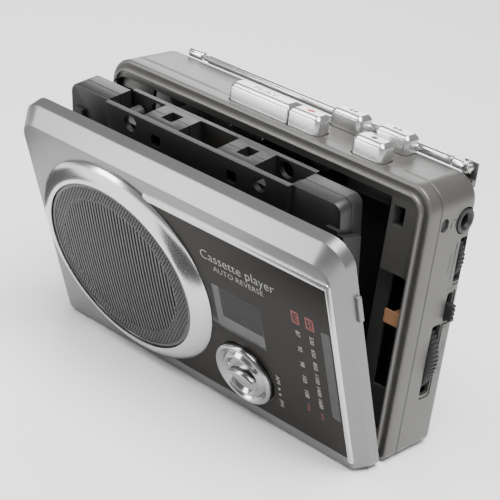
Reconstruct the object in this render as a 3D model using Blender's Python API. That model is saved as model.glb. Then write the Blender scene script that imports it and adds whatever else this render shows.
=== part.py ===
"""Portable radio cassette player with a drop-front door, built as separate solids.

Lengths are in millimetres in this file and turned into metres when a mesh is made.
X is to the right seen from the front, Y goes to the back and Z is up.
Every piece is laid out with the door closed. The door is opened at the end.
"""
import math

import bmesh
import bpy
from mathutils import Matrix, Vector

MM = 0.001

# ---- driving sizes -------------------------------------------------------
BODY_W = 116.8
BODY_H = 78.6
BODY_D = 21.9
CORNER_TOP = 7.0
CORNER_BOTTOM = 2.5
WALL = 1.4
GAP = 0.3
SEAM_Y = 5.8

DOOR_T = 7.8
DOOR_BACK = -1.0
DOOR_WALL = 1.5
DOOR_OPEN = 21.9
HINGE_Y = 1.5
HINGE_Z = 1.5
PIN_R = 0.75

HOLDER_LEAN = 12.7
HOLDER_LIFT = 9.5
ROD_Y = -5.7
ROD_Z = 10.0
ROD_R = 0.8

TAPE_W = 100.4
TAPE_H = 63.8
TAPE_T = 8.7
TAPE_HEAD_T = 12.0
TAPE_X = -6.6
TAPE_Y = 0.8
TAPE_Z = 3.9
HUB_PITCH = 42.5
HUB_DROP = 34.9
CAPSTAN_PITCH = 48.2
CAPSTAN_DROP = 3.2

DECK_Y = 8.0
DECK_T = 1.0
FLYWHEEL_R = 11.5
MOTOR_R = 10.0
CELL_R = 5.25
CELL_L = 44.0

SPEAKER_X = -22.4
SPEAKER_Z = 39.0
SPEAKER_R = 32.8
GRILLE_R = 27.3
SPEAKER_RISE = 3.0
PANEL = (-20.0, 54.8, 8.1, 67.8)
WINDOW = (2.0, 29.8, 32.5, 48.9)
DIAL = (50.9, 53.9, 21.0, 52.3)
KNOB = (19.8, 20.0)
KNOB_R = 10.0

KEY_H = 5.2
KEY_TRAVEL = 2.6
KEY_FRONT = (3.3, 9.0)
KEY_REAR = (14.3, 20.2)
TUNING_R = 14.3
TUNING_X = 45.7
TUNING_Z = 27.4
VOLUME_R = 8.6
VOLUME_X = 50.4
VOLUME_Z = 56.0
ROD_AXIS_Y = 21.8
ROD_AXIS_Z = 79.5
ANTENNA_PIVOT_X = 53.0

HALF_W = BODY_W / 2
DOOR_FRONT = DOOR_BACK - DOOR_T
TAPE_TOP = TAPE_Z + TAPE_H
TAPE_FRONT = TAPE_Y - TAPE_T / 2
TAPE_REAR = TAPE_Y + TAPE_T / 2
HUB_Z = TAPE_TOP - HUB_DROP
CAPSTAN_Z = TAPE_TOP - CAPSTAN_DROP
DECK_BACK = DECK_Y + DECK_T
INNER_BACK = BODY_D - WALL


# ---- shapes --------------------------------------------------------------
def rect(u0, u1, v0, v1, radii=0.0, steps=4):
    """Outline of a rectangle; radii is one value or (low-left, low-right, high-right, high-left)."""
    if not isinstance(radii, tuple):
        radii = (radii, radii, radii, radii)
    if max(radii) <= 0:
        return [(u0, v0), (u1, v0), (u1, v1), (u0, v1)]
    corners = ((u0, v0, 180, 1, 1), (u1, v0, 270, -1, 1), (u1, v1, 0, -1, -1), (u0, v1, 90, 1, -1))
    points = []
    for (cu, cv, start, su, sv), r in zip(corners, radii):
        r = max(r, 0.05)
        for i in range(steps + 1):
            a = math.radians(start + 90 * i / steps)
            points.append((cu + su * r + r * math.cos(a), cv + sv * r + r * math.sin(a)))
    return points


def circle(u, v, r, n=24):
    """Outline of a circle."""
    return [(u + r * math.cos(2 * math.pi * i / n), v + r * math.sin(2 * math.pi * i / n)) for i in range(n)]


def body_outline(inset, low=0.0):
    """Outline of the case seen from the front, moved inwards by inset."""
    top = max(CORNER_TOP - inset, 0.6)
    base = max(CORNER_BOTTOM - inset, 0.6)
    return rect(-HALF_W + inset, HALF_W - inset, low + inset, BODY_H - inset, (base, base, top, top), 5)


def loft(axis, sections):
    """Closed solid through outlines with the same number of points, stacked along an axis."""
    bm = bmesh.new()
    rings = []
    for pos, outline in sections:
        ring = []
        for u, v in outline:
            co = {"x": (pos, u, v), "y": (u, pos, v), "z": (u, v, pos)}[axis]
            ring.append(bm.verts.new(Vector(co) * MM))
        rings.append(ring)
    count = len(rings[0])
    for a, b in zip(rings, rings[1:]):
        for i in range(count):
            j = (i + 1) % count
            bm.faces.new((a[i], a[j], b[j], b[i]))
    bm.faces.new(rings[0])
    bm.faces.new(rings[-1])
    bmesh.ops.recalc_face_normals(bm, faces=bm.faces)
    mesh = bpy.data.meshes.new("shape")
    bm.to_mesh(mesh)
    bm.free()
    shape = bpy.data.objects.new("shape", mesh)
    bpy.context.collection.objects.link(shape)
    return shape


def prism(axis, outline, low, high):
    """Straight solid from an outline."""
    return loft(axis, [(low, outline), (high, outline)])


def box(x0, x1, y0, y1, z0, z1):
    """Plain block."""
    return prism("z", rect(x0, x1, y0, y1), z0, z1)


def disc(x, z, r, y0, y1, n=24):
    """Cylinder along Y."""
    return prism("y", circle(x, z, r, n), y0, y1)


def bar(y, z, r, x0, x1, n=16):
    """Cylinder along X."""
    return prism("x", circle(y, z, r, n), x0, x1)


def combine(base, others, operation):
    """Boolean of base with others, applied at once; the others are removed."""
    for other in others:
        modifier = base.modifiers.new("combine", "BOOLEAN")
        modifier.operation = operation
        modifier.solver = "EXACT"
        modifier.object = other
        bpy.context.view_layer.update()
        graph = bpy.context.evaluated_depsgraph_get()
        mesh = bpy.data.meshes.new_from_object(base.evaluated_get(graph))
        base.modifiers.clear()
        base.data = mesh
        bpy.data.objects.remove(other)
    return base


def join(base, *others):
    """Union."""
    return combine(base, others, "UNION")


def cut(base, *others):
    """Difference."""
    return combine(base, others, "DIFFERENCE")


MATERIALS = {}


def material(name, colour, rough, metal=0.0):
    """Principled material, made once for each name."""
    if name not in MATERIALS:
        slot = bpy.data.materials.new(name)
        slot.use_nodes = True
        shader = slot.node_tree.nodes["Principled BSDF"]
        shader.inputs["Base Color"].default_value = (*colour, 1.0)
        shader.inputs["Roughness"].default_value = rough
        shader.inputs["Metallic"].default_value = metal
        MATERIALS[name] = slot
    return MATERIALS[name]


def piece(name, shape, look, origin=(0.0, 0.0, 0.0), parent=None):
    """Name a solid, give it its own material, move its origin and hang it on a parent."""
    colour, rough, metal = look
    offset = Vector(origin) * MM
    shape.data.transform(Matrix.Translation(-offset))
    bm = bmesh.new()
    bm.from_mesh(shape.data)
    bmesh.ops.remove_doubles(bm, verts=bm.verts, dist=2e-6)
    bmesh.ops.dissolve_limit(bm, angle_limit=math.radians(0.5), verts=bm.verts, edges=bm.edges)
    bmesh.ops.triangulate(bm, faces=[f for f in bm.faces if len(f.verts) > 4])
    bmesh.ops.recalc_face_normals(bm, faces=bm.faces)
    bm.to_mesh(shape.data)
    bm.free()
    shape.location = offset
    shape.name = name
    shape.data.name = name
    shape.data.materials.clear()
    shape.data.materials.append(material(name + "_finish", colour, rough, metal))
    if parent is not None:
        shape.parent = parent
        shape.location = offset - Vector(parent["home"])
    return shape


def pivot(name, at, parent=None):
    """Empty on a joint axis. Its closed position is kept so that pieces can hang on it."""
    empty = bpy.data.objects.new(name, None)
    bpy.context.collection.objects.link(empty)
    home = Vector(at) * MM
    empty.location = home
    if parent is not None:
        empty.parent = parent
        empty.location = home - Vector(parent["home"])
    empty["home"] = home
    return empty


# ---- looks (colour, roughness, metal) ------------------------------------
SILVER = ((0.32, 0.32, 0.32), 0.35, 0.8)
GUNMETAL = ((0.2, 0.2, 0.2), 0.4, 0.7)
CHROME = ((0.8, 0.8, 0.82), 0.12, 1.0)
STEEL = ((0.5, 0.5, 0.52), 0.35, 1.0)
BLACK = ((0.015, 0.015, 0.016), 0.5, 0.0)
GLOSS = ((0.02, 0.018, 0.016), 0.15, 0.0)
RUBBER = ((0.02, 0.02, 0.02), 0.9, 0.0)
BRASS = ((0.6, 0.42, 0.2), 0.35, 1.0)
COPPER = ((0.35, 0.16, 0.07), 0.45, 0.6)
SMOKE = ((0.12, 0.12, 0.12), 0.1, 0.0)
GREEN = ((0.02, 0.12, 0.05), 0.5, 0.0)
PAPER = ((0.1, 0.1, 0.1), 0.9, 0.0)
TAPE = ((0.09, 0.05, 0.03), 0.3, 0.0)
CREAM = ((0.6, 0.6, 0.56), 0.5, 0.0)

KEYS = {
    "play_button": (-15.6, 6.2, *KEY_FRONT),
    "record_button": (6.6, 17.0, *KEY_FRONT),
    "rewind_button": (11.8, 22.4, *KEY_REAR),
    "fast_forward_button": (27.0, 38.4, *KEY_REAR),
    "stop_button": (28.4, 38.8, *KEY_FRONT),
}


def key_wells():
    """Cutters for the holes that the buttons come up through."""
    low, high = BODY_H - 4.0, BODY_H + 1.0
    wells = [prism("z", rect(-15.6 - GAP, 17.0 + GAP, 3.3 - GAP, 9.0 + GAP, 1.6), low, high)]
    for name in ("rewind_button", "fast_forward_button", "stop_button"):
        x0, x1, y0, y1 = KEYS[name]
        wells.append(prism("z", rect(x0 - GAP, x1 + GAP, y0 - GAP, y1 + GAP, 1.6), low, high))
    return wells


def build_front_case():
    """Front ring of the case, with the raised bezel round the door bay."""
    shell = loft("y", [
        (0.9, body_outline(0.5)),
        (1.4, body_outline(0.0)),
        (SEAM_Y - GAP / 2, body_outline(0.0)),
    ])
    ring = loft("y", [(-0.7, body_outline(2.7)), (-0.2, body_outline(2.0)), (1.8, body_outline(2.0))])
    shell = join(shell, ring)
    opening = prism("y", rect(-56.9, 46.2, 3.4, 73.4, (1.0, 1.0, 0.6, 4.5)), -2.0, 2.6)
    # the plate beside the bay lies lower than the bezel's crest and holds the latch opening
    dish = loft("y", [(-2.0, body_outline(3.0)), (0.4, body_outline(5.0))])
    latch = prism("y", rect(47.4, 50.9, 66.0, 71.6), -2.0, 2.6)
    dial_side = prism("y", rect(44.0, 55.3, 8.0, 53.4, 0.8), -2.0, 2.6)
    hollow = prism("y", body_outline(WALL), 2.2, SEAM_Y + 1.0)
    cut(shell, opening, dish, latch, dial_side, hollow)
    # recess floor at the upper left, beside the heads
    join(shell, prism("y", rect(-57.6, -43.0, 69.6, 77.8, (0.4, 0.4, 0.4, 5.9)), 2.8, 4.0))
    # clearance for the door knuckles and the door's lower edge
    cut(shell, box(-56.9, -49.0, -1.0, 3.2, -1.0, 3.5), box(49.0, 56.9, -1.0, 3.2, -1.0, 3.5))
    cut(shell, box(-49.5, 49.5, -1.0, 2.6, 2.2, 4.0))
    return cut(shell, *key_wells())


def build_rear_case():
    """Rear shell with the side ports and the battery opening."""
    shell = loft("y", [
        (SEAM_Y + GAP / 2, body_outline(0.0)),
        (BODY_D - 2.4, body_outline(0.0)),
        (BODY_D - 0.9, body_outline(0.7)),
        (BODY_D, body_outline(2.2)),
    ])
    cut(shell, prism("y", body_outline(WALL), SEAM_Y - 1.0, INNER_BACK))
    side = HALF_W - WALL - 1.0
    cut(
        shell,
        prism("x", rect(6.4, 9.6, 66.2, 70.0, 1.5), side, HALF_W + 1.0),
        prism("x", circle(17.0, 67.6, 3.8, 28), side, HALF_W + 1.0),
        prism("x", rect(17.3, 20.3, 49.6, 62.4, 0.6), side, HALF_W + 1.0),
        prism("x", rect(16.2, 18.6, 38.2, 46.6, 0.6), side, HALF_W + 1.0),
        prism("x", rect(12.0, 15.8, 16.8, 37.8, 0.8), side, HALF_W + 1.0),
    )
    cut(shell, box(-55.6, 35.4, INNER_BACK - 1.0, BODY_D + 1.0, 3.0, 15.5))
    cut(shell, *key_wells())
    # shallow seat for the antenna along the rear top edge
    cut(shell, bar(ROD_AXIS_Y, ROD_AXIS_Z, 1.8, -50.0, ANTENNA_PIVOT_X + 4.0, 20))
    post = box(38.0, 42.0, DECK_BACK + 0.2, INNER_BACK + 0.5, 60.5, 63.5)
    other = box(-53.0, -49.0, DECK_BACK + 0.2, INNER_BACK + 0.5, 24.0, 28.0)
    return join(shell, post, other)


def build_bay_frame():
    """Black plate behind the bezel, open for the cassette, the heads, the latch and the dial."""
    plate = prism("y", rect(29.6, 56.8, 5.2, 76.8, (0.6, 0.6, 5.4, 0.6), 6), 3.2, 4.2)
    cut(plate, box(28.0, 44.2, 2.0, 6.0, 4.0, 69.2), box(28.0, 39.4, 2.0, 6.0, 74.4, 78.0))
    cut(plate, prism("y", rect(47.4, 50.9, 66.0, 71.6), 2.0, 6.0))
    cut(plate, prism("y", rect(48.4, 55.2, 19.4, 53.0), 2.0, 6.0))
    tab = box(49.5, 51.6, 3.3, 4.1, 68.4, 69.8)
    return join(plate, tab)


def build_chassis():
    """Steel mechanism plate behind the cassette."""
    plate = prism("y", rect(-56.6, 44.0, 17.5, 76.6, (0.4, 0.4, 0.4, 5.4)), DECK_Y, DECK_BACK)
    holes = []
    for side in (-1, 1):
        holes.append(disc(TAPE_X + side * HUB_PITCH / 2, HUB_Z, 3.2, 7.0, 10.0))
        holes.append(disc(TAPE_X + side * CAPSTAN_PITCH / 2, CAPSTAN_Z, 1.6, 7.0, 10.0, 20))
    holes.append(box(-16.5, 19.0, 7.0, 10.0, 71.0, 78.0))
    holes.append(box(28.0, 39.2, 7.0, 10.0, 71.0, 78.0))
    return cut(plate, *holes)


def build_key(name):
    """Push button with a chamfered top and a flat stem below."""
    x0, x1, y0, y1 = KEYS[name]
    top = BODY_H + KEY_H
    base = BODY_H - 1.2
    if name == "play_button":
        radii = (1.4, 0.3, 0.3, 1.4)
    elif name == "record_button":
        radii = (0.3, 1.4, 1.4, 0.3)
    else:
        radii = (1.4, 1.4, 1.4, 1.4)
    c = 1.1
    cap = loft("z", [
        (base, rect(x0, x1, y0, y1, radii)),
        (top - c, rect(x0, x1, y0, y1, radii)),
        (top, rect(x0 + c, x1 - c, y0 + c, y1 - c, radii)),
    ])
    mid = (x0 + x1) / 2
    y_stem = (y0 + y1) / 2 + 0.75
    stem = box(mid - 1.5, mid + 1.5, y_stem - 0.6, y_stem + 0.6, BODY_H - 4.0, base + 0.5)
    return join(cap, stem)


def build_door_shell():
    """Silver door: hollow tray with wide bevels, open to the back."""
    full = (2.0, 2.0, CORNER_TOP, CORNER_TOP)

    def outline(dx, z0, z1, radii=full):
        return rect(-HALF_W + dx, HALF_W - dx, z0, z1, radii, 5)

    shell = loft("y", [
        (DOOR_BACK, outline(0.0, 1.15, BODY_H)),
        (DOOR_BACK - 3.9, outline(0.0, 2.75, BODY_H)),
        (DOOR_FRONT, outline(2.2, 4.3, BODY_H - 4.3, (1.5, 1.5, 5.5, 5.5))),
    ])
    w = DOOR_WALL
    inner = (1.0, 1.0, 5.5, 5.5)
    cut(shell, loft("y", [
        (DOOR_BACK + 1.0, outline(w, 1.5, BODY_H - w, inner)),
        (DOOR_BACK - 3.9, outline(w, 3.6, BODY_H - w, inner)),
        (DOOR_FRONT + w, outline(w + 1.7, 5.1, BODY_H - 5.0, (1.0, 1.0, 4.5, 4.5))),
    ]))
    # seats cut through the front wall
    cut(
        shell,
        disc(SPEAKER_X, SPEAKER_Z, 27.0, DOOR_FRONT - 1.0, -6.0, 36),
        prism("y", rect(WINDOW[0] + 5.0, WINDOW[1] - 1.0, WINDOW[2] + 1.0, WINDOW[3] - 1.0), -10.0, -6.0),
        prism("y", rect(DIAL[0] + 0.6, DIAL[1] - 0.6, DIAL[2] + 0.6, DIAL[3] - 0.6), -10.0, -6.0),
        disc(*KNOB, 2.4, -10.0, -6.0, 20),
    )
    # shallow pocket for the dark panel
    pocket = rect(PANEL[0] - 0.2, PANEL[1] + 0.2, PANEL[2] - 0.2, PANEL[3] + 0.2, 1.2)
    cut(shell, prism("y", pocket, -10.0, -8.2))
    # knuckles that reach back to the hinge axis
    for x0, x1 in ((-55.6, -51.0), (51.0, 55.6)):
        barrel = bar(HINGE_Y, HINGE_Z, 1.25, x0, x1)
        web = box(x0, x1, DOOR_BACK - 1.0, HINGE_Y, HINGE_Z + 0.1, HINGE_Z + 1.2)
        join(shell, web, barrel)
        cut(shell, bar(HINGE_Y, HINGE_Z, PIN_R + 0.2, x0 - 1.0, x1 + 1.0))
    # lugs that carry the holder rod
    for x0, x1 in ((-57.2, -55.2), (50.2, 52.2)):
        join(shell, box(x0, x1, -7.6, ROD_Y + 1.8, ROD_Z - 1.8, ROD_Z + 1.8))
        cut(shell, bar(ROD_Y, ROD_Z, ROD_R + 0.2, x0 - 0.5, x1 + 0.5))
    # finger lug on the right edge and latch hook at the upper right
    join(shell, box(HALF_W - 1.0, HALF_W + 1.0, DOOR_BACK - 1.9, DOOR_BACK - 0.4, 54.5, 62.8))
    hook = box(48.1, 49.2, -7.6, 5.6, 67.0, 68.2)
    nose = box(48.1, 49.2, 4.5, 5.6, 67.0, 69.3)
    return join(shell, hook, nose)


def build_speaker_ring():
    """Raised conical ring round the speaker grille."""
    ring = loft("y", [
        (DOOR_FRONT - GAP, circle(SPEAKER_X, SPEAKER_Z, SPEAKER_R, 48)),
        (DOOR_FRONT - 0.7, circle(SPEAKER_X, SPEAKER_Z, SPEAKER_R, 48)),
        (DOOR_FRONT - SPEAKER_RISE, circle(SPEAKER_X, SPEAKER_Z, GRILLE_R + 0.9, 48)),
    ])
    return cut(ring, disc(SPEAKER_X, SPEAKER_Z, GRILLE_R, -14.0, -8.0, 48))


def build_grille():
    """Domed speaker grille with upright slots."""
    front = DOOR_FRONT - SPEAKER_RISE
    r = GRILLE_R - 0.2
    grille = loft("y", [
        (front + 1.6, circle(SPEAKER_X, SPEAKER_Z, r, 36)),
        (front + 0.3, circle(SPEAKER_X, SPEAKER_Z, r, 36)),
        (front - 0.3, circle(SPEAKER_X, SPEAKER_Z, r - 2.5, 36)),
    ])
    slots = []
    for i in range(-4, 5):
        x = SPEAKER_X + i * 4.6
        half = math.sqrt((r - 5.0) ** 2 - (i * 4.6) ** 2)
        slots.append(box(x - 0.9, x + 0.9, -14.0, -8.0, SPEAKER_Z - half, SPEAKER_Z + half))
    return cut(grille, *slots)


def build_speaker_frame():
    """Dished basket of the slim speaker, with its magnet cup."""
    basket = loft("y", [
        (-9.9, circle(SPEAKER_X, SPEAKER_Z, 26.6, 32)),
        (-9.2, circle(SPEAKER_X, SPEAKER_Z, 26.6, 32)),
        (-7.6, circle(SPEAKER_X, SPEAKER_Z, 17.0, 32)),
        (-6.2, circle(SPEAKER_X, SPEAKER_Z, 11.0, 32)),
    ])
    cut(basket, loft("y", [
        (-12.0, circle(SPEAKER_X, SPEAKER_Z, 24.6, 32)),
        (-9.7, circle(SPEAKER_X, SPEAKER_Z, 24.6, 32)),
        (-8.2, circle(SPEAKER_X, SPEAKER_Z, 15.5, 32)),
        (-7.0, circle(SPEAKER_X, SPEAKER_Z, 10.0, 32)),
    ]))
    return basket


def build_cone():
    """Speaker cone with a small dust cap."""
    return loft("y", [
        (-10.05, circle(SPEAKER_X, SPEAKER_Z, 5.0, 28)),
        (-9.3, circle(SPEAKER_X, SPEAKER_Z, 7.0, 28)),
        (-9.95, circle(SPEAKER_X, SPEAKER_Z, 23.4, 28)),
        (-9.6, circle(SPEAKER_X, SPEAKER_Z, 23.4, 28)),
        (-8.6, circle(SPEAKER_X, SPEAKER_Z, 14.0, 28)),
        (-7.9, circle(SPEAKER_X, SPEAKER_Z, 7.0, 28)),
    ])


def build_panel():
    """Dark glossy panel, cut back round the speaker ring."""
    panel = prism("y", rect(*PANEL, 1.0), DOOR_FRONT - 0.15, -8.25)
    cut(
        panel,
        disc(SPEAKER_X, SPEAKER_Z, SPEAKER_R + 0.3, -12.0, -6.0, 48),
        prism("y", rect(WINDOW[0], WINDOW[1], WINDOW[2], WINDOW[3], 0.6), -10.0, -7.0),
        prism("y", rect(*DIAL, 1.2), -10.0, -7.0),
        disc(*KNOB, KNOB_R + 0.3, -12.0, -7.0, 40),
    )
    return panel


def build_window():
    """Clear cassette window, cut back round the speaker ring."""
    outline = rect(WINDOW[0] + 0.2, WINDOW[1] - 0.2, WINDOW[2] + 0.2, WINDOW[3] - 0.2, 0.5)
    lens = prism("y", outline, -8.9, -8.25)
    return cut(lens, disc(SPEAKER_X, SPEAKER_Z, SPEAKER_R + 0.3, -12.0, -6.0, 48))


def build_dial_window():
    """Clear strip over the radio dial."""
    return prism("y", rect(DIAL[0] + 0.2, DIAL[1] - 0.2, DIAL[2] + 0.2, DIAL[3] - 0.2, 1.0), -8.9, -8.25)


def build_knob():
    """Round chrome band knob with rings and a lens-shaped grip."""
    x, z = KNOB
    knob = loft("y", [
        (-8.45, circle(x, z, KNOB_R, 40)),
        (DOOR_FRONT - 1.1, circle(x, z, KNOB_R, 40)),
        (DOOR_FRONT - 1.7, circle(x, z, KNOB_R - 0.8, 40)),
        (DOOR_FRONT - 0.9, circle(x, z, KNOB_R - 2.2, 40)),
        (DOOR_FRONT - 1.7, circle(x, z, KNOB_R - 3.6, 40)),
        (DOOR_FRONT - 1.9, circle(x, z, KNOB_R - 5.0, 40)),
    ])
    half = 5.6
    rise = 2.0
    r = (half ** 2 + rise ** 2) / (2 * rise)
    span = math.asin(half / r)
    upper = [(x + r * math.sin(span * t / 6), z - r + rise + r * math.cos(span * t / 6)) for t in range(-6, 7)]
    lower = [(x - r * math.sin(span * t / 6), z + r - rise - r * math.cos(span * t / 6)) for t in range(-5, 6)]
    grip = prism("y", upper + lower, DOOR_FRONT - 2.8, DOOR_FRONT - 1.5)
    shaft = disc(x, z, 2.1, -8.7, -6.6, 20)
    return join(knob, grip, shaft)


def build_holder():
    """Black pocket that the cassette drops into."""
    right = box(44.1, 45.9, -4.9, 2.2, 4.9, 61.2)
    left_lip = box(-54.9, -51.0, -4.9, -3.75, 4.9, 61.2)
    right_lip = box(40.0, 45.0, -4.9, -3.75, 4.9, 61.2)
    front = box(-54.9, 45.9, -4.9, -3.75, 4.2, 7.4)
    tray = [
        (-4.9, 5.0), (-4.9, 3.9), (-3.0, 3.2), (4.4, 3.2),
        (4.4, 3.6), (-2.9, 3.6), (-3.7, 3.95), (-3.75, 5.0),
    ]
    join(front, prism("x", tray, -47.5, 42.0), right, left_lip, right_lip)
    # sloped top of the right rail
    cut(front, prism("x", [(-6.0, 60.6), (3.0, 57.6), (3.0, 63.0), (-6.0, 63.0)], 43.9, 46.5))
    return front


def build_arms():
    """Rod and two side plates that carry the holder on the door."""
    rod = bar(ROD_Y, ROD_Z, ROD_R, -57.0, 52.0)
    left = box(-54.6, -50.4, -6.5, -5.2, 8.4, 40.0)
    right = box(40.6, 48.0, -6.5, -5.2, 8.4, 40.0)
    fin = box(46.4, 48.0, -6.0, 1.8, 12.0, 40.0)
    return join(rod, left, right, fin)


def tape_outline(shrink):
    """Trapezoid of the thicker head area, seen from the front."""
    top = TAPE_TOP
    low = top - 16.0
    return [
        (TAPE_X - 33.0 + shrink, low + shrink), (TAPE_X + 33.0 - shrink, low + shrink),
        (TAPE_X + 34.6 - shrink, top), (TAPE_X - 34.6 + shrink, top),
    ]


def build_tape_half(y_out, y_thick, y_mid):
    """One half of the cassette shell; y_mid is the parting face."""
    x0, x1 = TAPE_X - TAPE_W / 2, TAPE_X + TAPE_W / 2
    step = 0.4 if y_out < y_mid else -0.4
    half = loft("y", [
        (y_out, rect(x0 + 0.4, x1 - 0.4, TAPE_Z + 0.4, TAPE_TOP - 0.4, 2.4)),
        (y_out + step, rect(x0, x1, TAPE_Z, TAPE_TOP, 2.8)),
        (y_mid, rect(x0, x1, TAPE_Z, TAPE_TOP, 2.8)),
    ])
    join(half, loft("y", [(y_thick, tape_outline(0.6)), (y_mid, tape_outline(0.0))]))
    low, high = sorted((y_out + step * 3, y_mid + step * 3))
    cut(half, box(x0 + 2.0, x1 - 2.0, low, high, TAPE_Z + 2.0, TAPE_TOP - 12.0))
    tools = []
    for side in (-1, 1):
        tools.append(disc(TAPE_X + side * HUB_PITCH / 2, HUB_Z, 5.2, -9.0, 10.0, 28))
        tools.append(disc(TAPE_X + side * CAPSTAN_PITCH / 2, CAPSTAN_Z, 2.4, -9.0, 10.0, 20))
        cx = TAPE_X + side * 14.1
        tools.append(box(cx - 1.7, cx + 1.7, -9.0, 10.0, TAPE_TOP - 6.8, TAPE_TOP - 3.4))
        for a, b in ((20.6, 34.4), (12.0, 16.2)):
            u, v = sorted((TAPE_X + side * a, TAPE_X + side * b))
            depth = 9.0 if a > 20 else 2.5
            y0, y1 = (TAPE_Y - 4.3, TAPE_Y + 4.5) if a > 20 else (TAPE_Y - 2.0, TAPE_Y + 2.6)
            tools.append(box(u, v, y0, y1, TAPE_TOP - depth, TAPE_TOP + 1.0))
    tools.append(box(TAPE_X - 7.2, TAPE_X + 7.2, TAPE_Y - 4.3, TAPE_Y + 4.5, TAPE_TOP - 9.0, TAPE_TOP + 1.0))
    return cut(half, *tools)


def build_hub(x):
    """Cassette hub: sleeve, flange and six drive teeth."""
    hub = disc(x, HUB_Z, 4.9, TAPE_FRONT + 0.3, TAPE_REAR - 0.3, 20)
    join(hub, disc(x, HUB_Z, 10.6, TAPE_Y - 1.9, TAPE_Y + 1.9, 28))
    cut(hub, disc(x, HUB_Z, 4.3, -9.0, 10.0, 20))
    for i in range(6):
        a = math.radians(60 * i)
        u, v = x + 4.1 * math.cos(a), HUB_Z + 4.1 * math.sin(a)
        join(hub, disc(u, v, 0.7, TAPE_FRONT + 0.5, TAPE_REAR - 0.5, 6))
    return hub


def wheel(x, z, r, y0, y1, teeth, depth, n):
    """Disc with a ribbed rim."""
    rim = []
    for i in range(teeth * 2):
        a = math.pi * i / teeth
        radius = r if i % 2 == 0 else r - depth
        rim.append((x + radius * math.cos(a), z + radius * math.sin(a)))
    return join(prism("y", rim, y0, y1), disc(x, z, r * 0.5, y0 - 0.4, y1 + 0.4, n))


def annulus(x, z, outer, inner, y0, y1, n=36):
    """Flat ring along Y."""
    return cut(disc(x, z, outer, y0, y1, n), disc(x, z, inner, y0 - 1.0, y1 + 1.0, n))


def build_belt(pulley_x, pulley_z):
    """Drive belt round the motor pulley and both flywheels."""
    grow = 0.5
    y0, y1 = 14.5, 15.4
    circles = []
    for side in (-1, 1):
        circles.append((TAPE_X + side * CAPSTAN_PITCH / 2, CAPSTAN_Z, 9.2))
    circles.append((pulley_x, pulley_z, 2.8))

    def hull(extra):
        points = []
        for cx, cz, r in circles:
            points.extend(circle(cx, cz, r + extra, 20))
        points.sort()

        def half(seq):
            out = []
            for p in seq:
                while len(out) > 1:
                    (ax, az), (bx, bz) = out[-2], out[-1]
                    if (bx - ax) * (p[1] - az) - (bz - az) * (p[0] - ax) > 0:
                        break
                    out.pop()
                out.append(p)
            return out[:-1]

        return half(points) + half(points[::-1])

    outer = prism("y", hull(GAP + grow), y0, y1)
    return cut(outer, prism("y", hull(GAP), y0 - 1.0, y1 + 1.0))


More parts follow.
